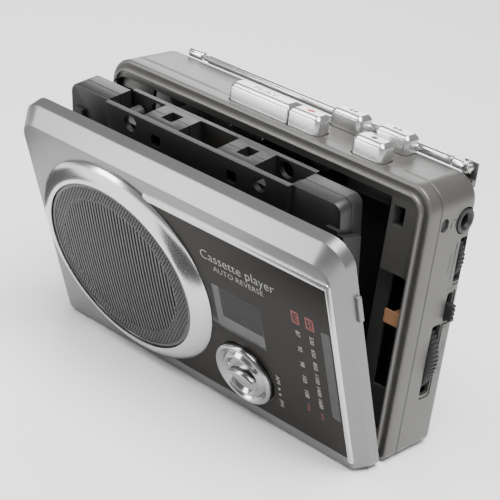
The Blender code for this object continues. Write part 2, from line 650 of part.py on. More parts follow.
def main():
    """Build every piece, hang the moving ones on their axes and open the door."""
    for old in list(bpy.data.objects):
        bpy.data.objects.remove(old, do_unlink=True)

    # ---- case and fixed inner pieces
    piece("front_case", build_front_case(), GUNMETAL)
    piece("rear_case", build_rear_case(), GUNMETAL)
    piece("bay_frame", build_bay_frame(), BLACK)
    piece("chassis_plate", build_chassis(), STEEL)
    board = box(-48.0, 30.0, 18.9, 20.0, 17.5, 46.0)
    piece("circuit_board", board, GREEN)
    motor_x, motor_z = TAPE_X, 30.0
    motor = join(
        disc(motor_x, motor_z, MOTOR_R, 9.4, 13.6, 28),
        disc(motor_x, motor_z, 2.0, 13.0, 13.9, 20),
    )
    piece("drive_motor", motor, STEEL)
    pulley = join(disc(motor_x, motor_z, 2.8, 14.3, 15.6, 24), disc(motor_x, motor_z, 3.3, 15.6, 16.0, 24))
    piece("motor_pulley", pulley, BRASS, (motor_x, 15.0, motor_z))
    piece("drive_belt", build_belt(motor_x, motor_z), RUBBER)
    for name, side in (("flywheel_left", -1), ("flywheel_right", 1)):
        x = TAPE_X + side * CAPSTAN_PITCH / 2
        fly = join(
            disc(x, CAPSTAN_Z, FLYWHEEL_R, 10.8, 14.2, 32),
            disc(x, CAPSTAN_Z, 9.2, 14.0, 15.6, 32),
            disc(x, CAPSTAN_Z, 0.9, 5.2, 11.5, 16),
        )
        piece(name, fly, STEEL, (x, 12.0, CAPSTAN_Z))
    for name, side in (("spindle_left", -1), ("spindle_right", 1)):
        x = TAPE_X + side * HUB_PITCH / 2
        spindle = join(
            disc(x, HUB_Z, 2.6, 6.0, 9.6, 24),
            loft("y", [(3.9, circle(x, HUB_Z, 0.9, 16)), (6.2, circle(x, HUB_Z, 1.9, 16))]),
            disc(x, HUB_Z, 6.5, 9.4, 11.4, 24),
        )
        for i in range(3):
            a = math.radians(120 * i)
            fin_x, fin_z = x + 2.0 * math.cos(a), HUB_Z + 2.0 * math.sin(a)
            join(spindle, disc(fin_x, fin_z, 0.8, 6.1, 9.0, 8))
        piece(name, spindle, CREAM, (x, 8.0, HUB_Z))

    cells = (("battery_left", -55.4), ("battery_right", -10.6))
    for name, x0 in cells:
        cell = join(
            bar(14.9, 9.2, CELL_R, x0, x0 + CELL_L - 0.8, 24),
            bar(14.9, 9.2, 1.9, x0 + CELL_L - 1.2, x0 + CELL_L, 16),
        )
        piece(name, cell, GUNMETAL)
    spring = box(-56.6, -56.1, 10.6, 19.2, 5.0, 13.6)
    piece("battery_spring", spring, STEEL)
    contact = box(34.0, 34.5, 10.6, 19.2, 5.0, 13.6)
    piece("battery_contact", contact, STEEL)
    cover = join(
        box(-55.3, 35.1, BODY_D - 1.3, BODY_D, 3.3, 15.2),
        box(-38.0, -32.0, BODY_D - 1.55, BODY_D - 1.2, 4.0, 14.5),
        box(14.0, 20.0, BODY_D - 1.55, BODY_D - 1.2, 4.0, 14.5),
    )
    for i in range(4):
        cut(cover, box(-5.0 + i * 2.4, -4.0 + i * 2.4, BODY_D - 0.4, BODY_D + 1.0, 6.0, 12.5))
    piece("battery_cover", cover, GUNMETAL, (0.0, BODY_D, 9.2))

    # ---- right side
    jack = join(
        prism("x", rect(13.8, 20.0, 65.0, 70.8), 44.6, 56.2),
        prism("x", circle(17.0, 67.6, 3.5, 28), 56.0, HALF_W + 0.5),
    )
    cut(jack, prism("x", circle(17.0, 67.6, 1.8, 20), 47.0, HALF_W + 2.0))
    piece("headphone_jack", jack, BLACK)
    piece("microphone", prism("x", rect(6.7, 9.3, 66.5, 69.7, 1.2), 50.0, HALF_W - 0.6), BLACK)
    volume = wheel(VOLUME_X, VOLUME_Z, VOLUME_R, 17.7, 19.9, 24, 0.35, 20)
    piece("volume_wheel", volume, BLACK, (VOLUME_X, 18.8, VOLUME_Z))
    switch = join(
        box(HALF_W - 2.4, HALF_W + 1.9, 16.6, 18.2, 38.7, 43.6),
        box(HALF_W - 4.0, HALF_W - 1.7, 15.6, 19.4, 37.6, 44.8),
    )
    for i in range(3):
        z = 39.8 + i * 1.3
        cut(switch, box(HALF_W + 1.5, HALF_W + 2.5, 16.0, 19.0, z, z + 0.6))
    piece("function_switch", switch, BLACK, (HALF_W, 17.4, 41.1))
    tuning = wheel(TUNING_X, TUNING_Z, TUNING_R, 12.5, 15.3, 40, 0.4, 20)
    piece("tuning_wheel", tuning, BLACK, (TUNING_X, 13.9, TUNING_Z))
    capacitor = box(38.0, 53.0, 16.4, 20.2, 20.0, 35.0)
    piece("tuning_capacitor", capacitor, CREAM)
    pointer = join(
        box(48.8, 54.8, 2.3, 2.9, 38.3, 42.1),
        box(50.6, 52.8, 2.8, 6.4, 38.9, 41.5),
    )
    piece("tuning_pointer", pointer, COPPER, (51.7, 3.0, 40.2))

    # ---- buttons
    for name in KEYS:
        x0, x1, y0, y1 = KEYS[name]
        centre = ((x0 + x1) / 2, (y0 + y1) / 2, BODY_H)
        piece(name, build_key(name), CHROME, centre)

    # ---- head carriage
    roll_z = 73.35
    carriage = box(TAPE_X - 28.5, TAPE_X + 28.5, 5.0, 5.9, 72.1, 74.4)
    for side in (-1, 1):
        join(carriage, disc(TAPE_X + side * 27.2, roll_z, 0.6, 2.6, 5.3, 12))
    piece("head_carriage", carriage, STEEL, (TAPE_X, 5.4, roll_z))
    head = loft("z", [
        (70.7, rect(TAPE_X - 3.6, TAPE_X + 3.6, 2.8, 4.7, 0.4, 2)),
        (71.7, rect(TAPE_X - 6.0, TAPE_X + 6.0, 2.4, 4.7, 0.4, 2)),
        (74.2, rect(TAPE_X - 6.0, TAPE_X + 6.0, 2.4, 4.7, 0.4, 2)),
    ])
    piece("tape_head", head, CHROME, (TAPE_X, 3.6, roll_z))
    for name, side in (("pinch_roller_left", -1), ("pinch_roller_right", 1)):
        x = TAPE_X + side * 27.2
        piece(name, annulus(x, roll_z, 3.0, 0.85, 2.7, 4.7, 20), RUBBER, (x, 3.7, roll_z))
    spring_comb = box(-7.0, 36.0, 9.4, 13.9, 76.75, 77.05)
    for x0, x1 in ((-2.6, 9.8), (13.8, 15.0), (19.2, 30.6)):
        cut(spring_comb, box(x0, x1, 9.0, 10.6, 76.0, 78.0), box(x0, x1, 12.6, 14.4, 76.0, 78.0))
    piece("button_spring", spring_comb, STEEL)

    # ---- antenna
    stay = ROD_AXIS_Z
    knuckle = join(
        bar(ROD_AXIS_Y, stay, 1.4, ANTENNA_PIVOT_X - 4.4, ANTENNA_PIVOT_X + 1.3, 20),
        disc(ANTENNA_PIVOT_X, stay, 1.55, ROD_AXIS_Y - 1.2, ROD_AXIS_Y + 1.2, 24),
    )
    cut(knuckle, disc(ANTENNA_PIVOT_X, stay, 0.8, 10.0, 27.0, 16))
    piece("antenna_knuckle", knuckle, CHROME, (ANTENNA_PIVOT_X, ROD_AXIS_Y, stay))
    mount = join(
        box(ANTENNA_PIVOT_X - 2.2, ANTENNA_PIVOT_X + 2.2,
            ROD_AXIS_Y + 1.5, ROD_AXIS_Y + 1.9, stay - 5.2, stay + 1.4),
        box(ANTENNA_PIVOT_X - 2.2, ANTENNA_PIVOT_X + 2.2, BODY_D + 0.02, ROD_AXIS_Y + 1.7, stay - 5.2, stay - 3.2),
        disc(ANTENNA_PIVOT_X, stay, 0.6, ROD_AXIS_Y - 1.3, ROD_AXIS_Y + 1.6, 16),
    )
    piece("antenna_pin", mount, STEEL)
    x_right = ANTENNA_PIVOT_X - 4.7
    outer = cut(bar(ROD_AXIS_Y, stay, 1.35, -40.0, x_right), bar(ROD_AXIS_Y, stay, 1.05, -41.0, x_right - 1.5))
    piece("antenna_outer_tube", outer, CHROME, (x_right, ROD_AXIS_Y, stay))
    inner = cut(bar(ROD_AXIS_Y, stay, 0.95, -42.0, 44.0), bar(ROD_AXIS_Y, stay, 0.65, -43.0, 42.0))
    piece("antenna_inner_tube", inner, CHROME, (44.0, ROD_AXIS_Y, stay))
    tip = join(
        bar(ROD_AXIS_Y, stay, 0.5, -44.0, 40.0, 12),
        bar(ROD_AXIS_Y, stay, 1.35, -48.0, -42.4),
    )
    piece("antenna_tip", tip, CHROME, (40.0, ROD_AXIS_Y, stay))

    # ---- hinge pins
    for name, x0, x1 in (("hinge_pin_left", -56.8, -49.2), ("hinge_pin_right", 49.2, 56.8)):
        piece(name, bar(HINGE_Y, HINGE_Z, PIN_R, x0, x1), STEEL)

    # ---- door
    door = pivot("door_axis", (0.0, HINGE_Y, HINGE_Z))
    door_at = (0.0, HINGE_Y, HINGE_Z)
    for name, shape, look in (
        ("door_shell", build_door_shell(), SILVER),
        ("speaker_ring", build_speaker_ring(), CHROME),
        ("speaker_grille", build_grille(), BLACK),
        ("speaker_frame", build_speaker_frame(), STEEL),
        ("speaker_cone", build_cone(), PAPER),
        ("radio_panel", build_panel(), GLOSS),
        ("cassette_window", build_window(), SMOKE),
        ("dial_window", build_dial_window(), SMOKE),
    ):
        piece(name, shape, look, door_at, door)
    piece("band_knob", build_knob(), CHROME, (KNOB[0], DOOR_FRONT, KNOB[1]), door)

    # ---- cassette holder and cassette
    arms = pivot("holder_axis", (0.0, ROD_Y, ROD_Z), door)
    piece("holder_arms", build_arms(), STEEL, (0.0, ROD_Y, ROD_Z), arms)
    lift = pivot("holder_slide", (0.0, 0.0, TAPE_Z), arms)
    piece("cassette_holder", build_holder(), BLACK, (0.0, 0.0, TAPE_Z), lift)
    tape_at = (TAPE_X, TAPE_Y, TAPE_Z)
    thick = TAPE_HEAD_T / 2
    front_half = build_tape_half(TAPE_FRONT, TAPE_Y - thick, TAPE_Y - 0.1)
    rear_half = build_tape_half(TAPE_REAR, TAPE_Y + thick, TAPE_Y + 0.1)
    piece("cassette_front_half", front_half, BLACK, tape_at, lift)
    piece("cassette_rear_half", rear_half, BLACK, tape_at, lift)
    for name, side in (("cassette_hub_left", -1), ("cassette_hub_right", 1)):
        x = TAPE_X + side * HUB_PITCH / 2
        piece(name, build_hub(x), CREAM, (x, TAPE_Y, HUB_Z), lift)
    pack_x = TAPE_X - HUB_PITCH / 2
    piece("tape_pack", annulus(pack_x, HUB_Z, 21.0, 10.9, TAPE_Y - 1.7, TAPE_Y + 1.7), TAPE,
          (pack_x, TAPE_Y, HUB_Z), lift)
    pad = join(
        box(TAPE_X - 6.6, TAPE_X + 6.6, TAPE_Y - 0.9, TAPE_Y + 0.9, TAPE_TOP - 8.7, TAPE_TOP - 8.2),
        box(TAPE_X - 2.5, TAPE_X + 2.5, TAPE_Y - 0.9, TAPE_Y + 0.9, TAPE_TOP - 8.4, TAPE_TOP - 6.4),
    )
    piece("pressure_pad", pad, BRASS, tape_at, lift)

    # ---- open the door, lean the holder back on it and raise the cassette
    lift.location += Vector((0.0, 0.0, HOLDER_LIFT)) * MM
    arms.rotation_euler = (math.radians(-HOLDER_LEAN), 0.0, 0.0)
    door.rotation_euler = (math.radians(DOOR_OPEN), 0.0, 0.0)
    bpy.context.view_layer.update()


main()
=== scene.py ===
"""Looks of the portable radio cassette player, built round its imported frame.

Pieces are drawn in millimetres with the door shut, as the frame's solids are, and are
then carried to where they stand with the door open. X is to the right, Y to the back.
"""
from __future__ import annotations

import logging
import math
from dataclasses import dataclass, field
from enum import Enum
from typing import Callable, Iterable, Sequence

import bmesh
import bpy
from mathutils import Matrix, Vector


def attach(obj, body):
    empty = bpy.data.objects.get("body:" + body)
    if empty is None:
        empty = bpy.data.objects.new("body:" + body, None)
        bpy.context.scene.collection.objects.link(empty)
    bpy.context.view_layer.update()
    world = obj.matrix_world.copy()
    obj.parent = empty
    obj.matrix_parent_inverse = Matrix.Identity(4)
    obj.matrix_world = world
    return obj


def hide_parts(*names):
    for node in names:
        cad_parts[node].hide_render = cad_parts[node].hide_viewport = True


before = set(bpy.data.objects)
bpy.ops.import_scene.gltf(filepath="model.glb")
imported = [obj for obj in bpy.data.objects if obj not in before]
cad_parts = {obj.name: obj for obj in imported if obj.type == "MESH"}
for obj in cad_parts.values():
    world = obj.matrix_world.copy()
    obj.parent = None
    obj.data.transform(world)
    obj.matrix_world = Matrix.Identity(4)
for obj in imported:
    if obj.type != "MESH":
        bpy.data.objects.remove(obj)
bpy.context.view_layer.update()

LOG = logging.getLogger("cassette_player")
MM = 0.001
PRINT_RISE = 0.012
MARK_RISE = 0.015
KEY_MARK_RISE = 0.03
Point = tuple[float, float]
Box = tuple[float, float, float, float]
Outline = list[Point]
Radii = float | Sequence[float]
Shaper = Callable[[float], Outline]

# Places that more than one sub-assembly uses, in millimetres with the door shut.
SOCKET: Point = (17.0, 67.6)
ANTENNA_AXIS: Point = (21.8, 79.5)
LATCH_HOLE: Box = (47.4, 50.9, 66.0, 71.6)


# ---- placing ---------------------------------------------------------------
class Side(Enum):
    """Which group a piece is drawn in before it is carried to its place."""

    CASE = "case"
    DOOR = "door"
    HOLDER = "holder"


@dataclass(frozen=True)
class Swing:
    """Axes and travel that take the shut door and its holder to where they stand."""

    hinge: Vector = Vector((0.0, 1.5, 1.5)) * MM
    rod: Vector = Vector((0.0, -5.7, 10.0)) * MM
    opening: float = math.radians(21.9)
    lean: float = math.radians(-12.7)
    lift: float = 9.5 * MM

    def turn(self, about: Vector, angle: float) -> Matrix:
        """Rotation about an axis along X through a point."""
        return Matrix.Translation(about) @ Matrix.Rotation(angle, 4, "X") @ Matrix.Translation(-about)

    def matrix(self, side: Side) -> Matrix:
        """Matrix that carries a piece from the shut player to its place at rest.

        Args:
            side: the group the piece was drawn in.

        Returns:
            The matrix, in metres.
        """
        if side is Side.CASE:
            return Matrix.Identity(4)
        door = self.turn(self.hinge, self.opening)
        if side is Side.DOOR:
            return door
        return door @ self.turn(self.rod, self.lean) @ Matrix.Translation((0.0, 0.0, self.lift))


SWING = Swing()


# ---- finishes --------------------------------------------------------------
@dataclass(frozen=True)
class Finish:
    """A surface finish with grain, uneven colour and uneven gloss."""

    name: str
    colour: tuple[float, float, float]
    roughness: float
    metallic: float = 0.0
    grain: float = 0.15
    depth: float = 0.08
    mottle: float = 0.06
    gloss_change: float = 0.08
    stretch: tuple[float, float, float] = (1.0, 1.0, 1.0)
    alpha: float = 1.0
    specular: float = 0.5
    slot: str = "black"

    def material(self) -> bpy.types.Material:
        """Material of this finish, made once.

        Returns:
            The material, with its pattern read from Object coordinates.
        """
        made = bpy.data.materials.get(self.name)
        if made is not None:
            return made
        made = bpy.data.materials.new(self.name)
        made.use_nodes = True
        nodes, links = made.node_tree.nodes, made.node_tree.links
        shader = nodes["Principled BSDF"]
        shader.inputs["Metallic"].default_value = self.metallic
        shader.inputs["Alpha"].default_value = self.alpha
        shader.inputs["Specular IOR Level"].default_value = self.specular
        coords = nodes.new("ShaderNodeTexCoord")
        place = nodes.new("ShaderNodeMapping")
        place.inputs["Scale"].default_value = self.stretch
        links.new(coords.outputs["Object"], place.inputs["Vector"])
        broad_scale, least_roughness, bump_share = 90.0, 0.02, 0.3
        fine = self._noise(made, place, 1.0 / (self.grain * MM), 3.0)
        broad = self._noise(made, place, broad_scale, 2.0)
        blend = nodes.new("ShaderNodeMix")
        blend.data_type = "RGBA"
        for slot, share in ((6, 1.0 - self.mottle), (7, 1.0 + self.mottle)):
            blend.inputs[slot].default_value = (*[min(1.0, c * share) for c in self.colour], 1.0)
        links.new(broad.outputs["Fac"], blend.inputs[0])
        links.new(blend.outputs[2], shader.inputs["Base Color"])
        gloss = nodes.new("ShaderNodeMapRange")
        gloss.inputs["To Min"].default_value = max(least_roughness, self.roughness - self.gloss_change)
        gloss.inputs["To Max"].default_value = min(1.0, self.roughness + self.gloss_change)
        links.new(fine.outputs["Fac"], gloss.inputs["Value"])
        links.new(gloss.outputs["Result"], shader.inputs["Roughness"])
        bump = nodes.new("ShaderNodeBump")
        bump.inputs["Strength"].default_value = self.depth
        bump.inputs["Distance"].default_value = self.grain * MM * bump_share
        links.new(fine.outputs["Fac"], bump.inputs["Height"])
        links.new(bump.outputs["Normal"], shader.inputs["Normal"])
        return made

    def _noise(
        self, made: bpy.types.Material, place: bpy.types.Node, scale: float, detail: float
    ) -> bpy.types.Node:
        """Noise texture fed by the mapped Object coordinates."""
        noise = made.node_tree.nodes.new("ShaderNodeTexNoise")
        noise.inputs["Scale"].default_value = scale
        noise.inputs["Detail"].default_value = detail
        made.node_tree.links.new(place.outputs["Vector"], noise.inputs["Vector"])
        return noise


CASE_GREY = Finish("case_grey_paint", (0.105, 0.1025, 0.098), 0.38, 0.5, grain=0.12, depth=0.12,
                   slot="gunmetal")
DOOR_SILVER = Finish("door_silver_paint", (0.19, 0.19, 0.19), 0.33, 0.8, grain=0.1, depth=0.08, slot="silver")
RING_CHROME = Finish("ring_satin_chrome", (0.58, 0.58, 0.58), 0.2, 1.0, grain=0.3, depth=0.0, mottle=0.03,
                     gloss_change=0.01, slot="chrome")
KEY_CHROME = Finish("key_plating", (0.54, 0.535, 0.53), 0.24, 0.9, grain=0.2, depth=0.03, gloss_change=0.05,
                    slot="plated")
KNOB_CHROME = Finish("knob_plating", (0.33, 0.33, 0.33), 0.17, 1.0, grain=0.3, depth=0.0, mottle=0.03,
                     gloss_change=0.02, slot="plated")
BRIGHT_STEEL = Finish("bright_steel", (0.72, 0.72, 0.72), 0.22, 1.0, grain=0.2, depth=0.03,
                      stretch=(0.05, 1, 1), slot="steel")
PLAIN_STEEL = Finish("plain_steel", (0.14, 0.14, 0.145), 0.4, 1.0, grain=0.2, depth=0.06, slot="steel")
# Near-black grey that paints the shade of the bezel's front rim and groove; it is not the case's own colour.
RIM_SHADE_GREY = Finish("bezel_rim_painted_shade", (0.045, 0.044, 0.042), 0.45, 0.2, grain=0.12, depth=0.1, slot="gunmetal")
BLACK_PLASTIC = Finish("black_moulding", (0.012, 0.012, 0.012), 0.5, grain=0.14, depth=0.15, slot="black")
BAY_PLASTIC = Finish("bay_moulding", (0.035, 0.035, 0.034), 0.42, grain=0.14, depth=0.12, slot="black")
TAPE_PLASTIC = Finish("tape_shell_moulding", (0.014, 0.014, 0.014), 0.42, grain=0.12, depth=0.12, slot="black")
PANEL_GLOSS = Finish("panel_brown_gloss", (0.009, 0.0075, 0.006), 0.36, grain=0.4, depth=0.01, mottle=0.04,
                     gloss_change=0.02, specular=0.12, slot="panel")
WINDOW_CLEAR = Finish("window_smoked", (0.035, 0.035, 0.034), 0.14, grain=0.5, depth=0.0, gloss_change=0.0,
                      specular=0.2, alpha=0.4, slot="clear")
LEDGE_GREY = Finish("window_ledge_grey", (0.42, 0.42, 0.41), 0.5, grain=0.14, depth=0.1, slot="panel")
DIAL_CLEAR = Finish("dial_smoked", (0.03, 0.03, 0.029), 0.22, grain=0.5, depth=0.0, gloss_change=0.0,
                    specular=0.3, alpha=0.85, slot="clear")
GRILLE_BLACK = Finish("grille_black_paint", (0.05, 0.05, 0.05), 0.4, 0.3, grain=0.1, depth=0.1, slot="black")
CONE_PAPER = Finish("cone_paper", (0.006, 0.006, 0.006), 0.9, grain=0.3, depth=0.4, slot="cone")
COPPER_PLASTIC = Finish("pointer_copper", (0.36, 0.19, 0.10), 0.5, grain=0.12, depth=0.1, slot="copper")
RUBBER_BLACK = Finish("rubber_black", (0.015, 0.015, 0.015), 0.8, grain=0.1, depth=0.2, slot="rubber")
BRASS_PLAIN = Finish("brass_plain", (0.55, 0.40, 0.18), 0.35, 1.0, grain=0.15, depth=0.05, slot="brass")
BOARD_GREEN = Finish("board_green", (0.015, 0.10, 0.04), 0.4, grain=0.3, depth=0.05, slot="board")
REEL_CREAM = Finish("reel_cream", (0.55, 0.54, 0.50), 0.45, grain=0.15, depth=0.06, slot="cream")
TAPE_BROWN = Finish("wound_tape", (0.07, 0.04, 0.025), 0.3, grain=0.1, depth=0.2, stretch=(1, 0.05, 1),
                    slot="tape")
INK_PALE = Finish("ink_pale", (0.27, 0.265, 0.255), 0.5, depth=0.0, slot="silver")
INK_RED = Finish("ink_red", (0.17, 0.03, 0.027), 0.5, depth=0.0, slot="copper")
INK_BRIGHT_RED = Finish("ink_bright_red", (0.42, 0.01, 0.015), 0.4, depth=0.0, slot="copper")
INK_DARK = Finish("ink_dark", (0.05, 0.05, 0.05), 0.5, depth=0.0, slot="black")
CARD_BLACK = Finish("card_black", (0.03, 0.03, 0.03), 0.9, depth=0.0)
FLOOR_WHITE = Finish("floor_white", (0.93, 0.93, 0.93), 0.7, grain=2.0, depth=0.0, mottle=0.0)


# ---- outlines --------------------------------------------------------------
def four(radii: Radii) -> list[float]:
    """One radius for each corner."""
    return [radii] * 4 if isinstance(radii, (int, float)) else list(radii)


def rect(u0: float, u1: float, v0: float, v1: float, radii: Radii = 0.0, steps: int = 8) -> Outline:
    """Outline of a rectangle with round corners.

    Args:
        u0: low side. u1: high side. v0: low end. v1: high end.
        radii: one radius, or four from low-left round to high-left.
        steps: faces in each corner.

    Returns:
        The points, in order.
    """
    places = ((u0, v0, 180, 1, 1), (u1, v0, 270, -1, 1), (u1, v1, 0, -1, -1), (u0, v1, 90, 1, -1))
    points: Outline = []
    for (cu, cv, start, su, sv), wanted in zip(places, four(radii)):
        radius = max(wanted, 0.04)
        for i in range(steps + 1):
            a = math.radians(start + 90 * i / steps)
            points.append((cu + radius * (su + math.cos(a)), cv + radius * (sv + math.sin(a))))
    return points


def circle(u: float, v: float, radius: float, count: int = 64) -> Outline:
    """Outline of a circle."""
    turn = 2 * math.pi / count
    return [(u + radius * math.cos(turn * i), v + radius * math.sin(turn * i)) for i in range(count)]


def shrink(u0: float, u1: float, v0: float, v1: float, radii: Radii, steps: int = 8) -> Shaper:
    """Rectangle whose sides and corners move in together.

    Args:
        u0: low side. u1: high side. v0: low end. v1: high end.
        radii: one corner radius, or four.
        steps: faces in each corner.

    Returns:
        A function from an inset to the outline.
    """
    def at(inset: float) -> Outline:
        corners = [max(radius - inset, 0.04) for radius in four(radii)]
        return rect(u0 + inset, u1 - inset, v0 + inset, v1 - inset, corners, steps)

    return at


def round_shape(u: float, v: float, radius: float, count: int = 64) -> Shaper:
    """Circle whose edge moves in."""
    return lambda inset: circle(u, v, radius - inset, count)


# ---- meshes and solids -----------------------------------------------------
def in_scene(name: str, data: bpy.types.ID) -> bpy.types.Object:
    """Object that holds the data, linked to the scene."""
    made = bpy.data.objects.new(name, data)
    bpy.context.scene.collection.objects.link(made)
    return made


def mesh_of(name: str, bm: bmesh.types.BMesh) -> bpy.types.Mesh:
    """Mesh of a finished bmesh, which is freed."""
    mesh = bpy.data.meshes.new(name)
    bm.to_mesh(mesh)
    bm.free()
    return mesh


def applied(piece: bpy.types.Object) -> bpy.types.Mesh:
    """Mesh of an object with its modifiers applied or its text filled."""
    bpy.context.view_layer.update()
    graph = bpy.context.evaluated_depsgraph_get()
    return bpy.data.meshes.new_from_object(piece.evaluated_get(graph))


class Solid:
    """A mesh object that is built up by joining and cutting others."""

    def __init__(self, mesh: bpy.types.Mesh) -> None:
        """Puts a mesh in the scene."""
        self.object = in_scene("solid", mesh)

    def _combine(self, others: Iterable[Solid], operation: str) -> Solid:
        """Boolean with each of the other solids, applied at once."""
        for other in others:
            modifier = self.object.modifiers.new("combine", "BOOLEAN")
            modifier.operation = operation
            modifier.solver = "EXACT"
            modifier.object = other.object
            mesh = applied(self.object)
            self.object.modifiers.clear()
            self.object.data = mesh
            bpy.data.objects.remove(other.object)
        return self

    def join(self, *others: Solid) -> Solid:
        """Adds the others to this solid."""
        return self._combine(others, "UNION")

    def cut(self, *others: Solid) -> Solid:
        """Takes the others away from this solid."""
        return self._combine(others, "DIFFERENCE")

    def moved(self, matrix: Matrix) -> Solid:
        """Carries this solid by a matrix in metres."""
        self.object.data.transform(matrix)
        return self


def loft(axis: str, sections: Iterable[tuple[float, Outline]]) -> Solid:
    """Closed solid through outlines with equal numbers of points.

    Args:
        axis: the direction the outlines are stacked in: x, y or z.
        sections: place along the axis and outline, in order.

    Returns:
        The solid.
    """
    bm = bmesh.new()
    rings = []
    for pos, outline in sections:
        ring = []
        for u, v in outline:
            co = {"x": (pos, u, v), "y": (u, pos, v), "z": (u, v, pos)}[axis]
            ring.append(bm.verts.new(Vector(co) * MM))
        rings.append(ring)
    count = len(rings[0])
    for a, b in zip(rings, rings[1:]):
        for i in range(count):
            j = (i + 1) % count
            bm.faces.new((a[i], a[j], b[j], b[i]))
    bm.faces.new(rings[0])
    bm.faces.new(rings[-1])
    bmesh.ops.recalc_face_normals(bm, faces=bm.faces)
    return Solid(mesh_of("solid", bm))


def prism(axis: str, outline: Outline, low: float, high: float) -> Solid:
    """Straight solid from an outline."""
    return loft(axis, [(low, outline), (high, outline)])


def soft_prism(axis: str, shape: Shaper, low: float, high: float, at_low: float, at_high: float) -> Solid:
    """Straight solid with rounded ends.

    Args:
        axis: direction of the solid's length.
        shape: outline for an inset.
        low: one end. high: the other end.
        at_low: edge radius at the low end. at_high: edge radius at the high end.

    Returns:
        The solid.
    """
    sections = []
    for end, way, edge, angles in ((low, 1, at_low, (0, 30, 60, 90)), (high, -1, at_high, (90, 60, 30, 0))):
        for angle in map(math.radians, angles):
            sections.append((end + way * edge * (1 - math.cos(angle)), shape(edge * (1 - math.sin(angle)))))
    return loft(axis, sections)


def block(x0: float, x1: float, y0: float, y1: float, z0: float, z1: float) -> Solid:
    """Plain block."""
    return prism("z", rect(x0, x1, y0, y1, 0.0, 1), z0, z1)


def disc(x: float, z: float, radius: float, y0: float, y1: float, count: int = 64) -> Solid:
    """Cylinder along Y."""
    return prism("y", circle(x, z, radius, count), y0, y1)


def rod(y: float, z: float, radius: float, x0: float, x1: float, edge: float = 0.2, count: int = 32) -> Solid:
    """Cylinder along X with rounded ends."""
    return soft_prism("x", round_shape(y, z, radius, count), x0, x1, edge, edge)


def lettering(text: str, height: float, x: float = 0.0, z: float = 0.0, y: float = 0.0, turn: float = 0.0,
              wide: float = 1.0, thick: float = PRINT_RISE, thin: float = 0.0) -> Solid:
    """Raised print that faces the front, centred on its place.

    Args:
        text: what it says. height: letter size in millimetres.
        x: place to the right. z: place up. y: surface it stands on.
        turn: degrees it is turned by, anticlockwise.
        wide: stretch of the letters' width. thick: how far it stands up.
        thin: how much finer the strokes are, in millimetres.

    Returns:
        The lettering as a solid.
    """
    curve = bpy.data.curves.new("lettering", "FONT")
    curve.body = text
    curve.size = height * MM
    curve.align_x = curve.align_y = "CENTER"
    curve.extrude = thick * MM
    curve.offset = -thin * MM
    curve.resolution_u = 3
    words = in_scene("lettering", curve)
    mesh = applied(words)
    bpy.data.objects.remove(words)
    upright = Matrix.Rotation(math.radians(90), 4, "X") @ Matrix.Rotation(math.radians(turn), 4, "Z")
    stretch = Matrix.Diagonal((wide, 1.0, 1.0, 1.0))
    mesh.transform(Matrix.Translation(Vector((x, y, z)) * MM) @ upright @ stretch)
    return Solid(mesh)


def gather(solids: Sequence[Solid]) -> Solid:
    """Puts several meshes that don't touch into one object."""
    bm = bmesh.new()
    for solid in solids:
        bm.from_mesh(solid.object.data)
        bpy.data.objects.remove(solid.object)
    return Solid(mesh_of("gathered", bm))


def dress(name: str, solid: Solid, finish: Finish, body: str, side: Side = Side.CASE,
          replaces: Sequence[str] = (), edge: float = 0.0, sharp: float = 32.0) -> None:
    """Names a solid, carries it to its place, gives it its finish and hangs it on a body.

    Args:
        name: the piece's name. solid: its shape. finish: its surface.
        body: the body it rides on. side: the group it was drawn in.
        replaces: frame nodes that it stands for.
        edge: bevel width in millimetres, or none.
        sharp: angle above which an edge stays sharp, in degrees.
    """
    piece = solid.object
    piece.name = name
    piece.data.name = name
    piece.data.transform(SWING.matrix(side))
    bm = bmesh.new()
    bm.from_mesh(piece.data)
    bmesh.ops.remove_doubles(bm, verts=bm.verts, dist=2e-6)
    bmesh.ops.dissolve_limit(bm, angle_limit=math.radians(0.3), verts=bm.verts, edges=bm.edges)
    bm.to_mesh(piece.data)
    bm.free()
    piece.data.materials.clear()
    piece.data.materials.append(finish.material())
    piece.data.shade_smooth()
    piece.data.set_sharp_from_angle(angle=math.radians(sharp))
    if edge > 0:
        bevel = piece.modifiers.new("edge", "BEVEL")
        bevel.width = edge * MM
        bevel.segments = 2
        bevel.limit_method = "ANGLE"
        bevel.angle_limit = math.radians(40)
        bevel.harden_normals = False
    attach(piece, body)
    if replaces:
        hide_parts(*replaces)
    LOG.info("%s rides on %s", name, body)


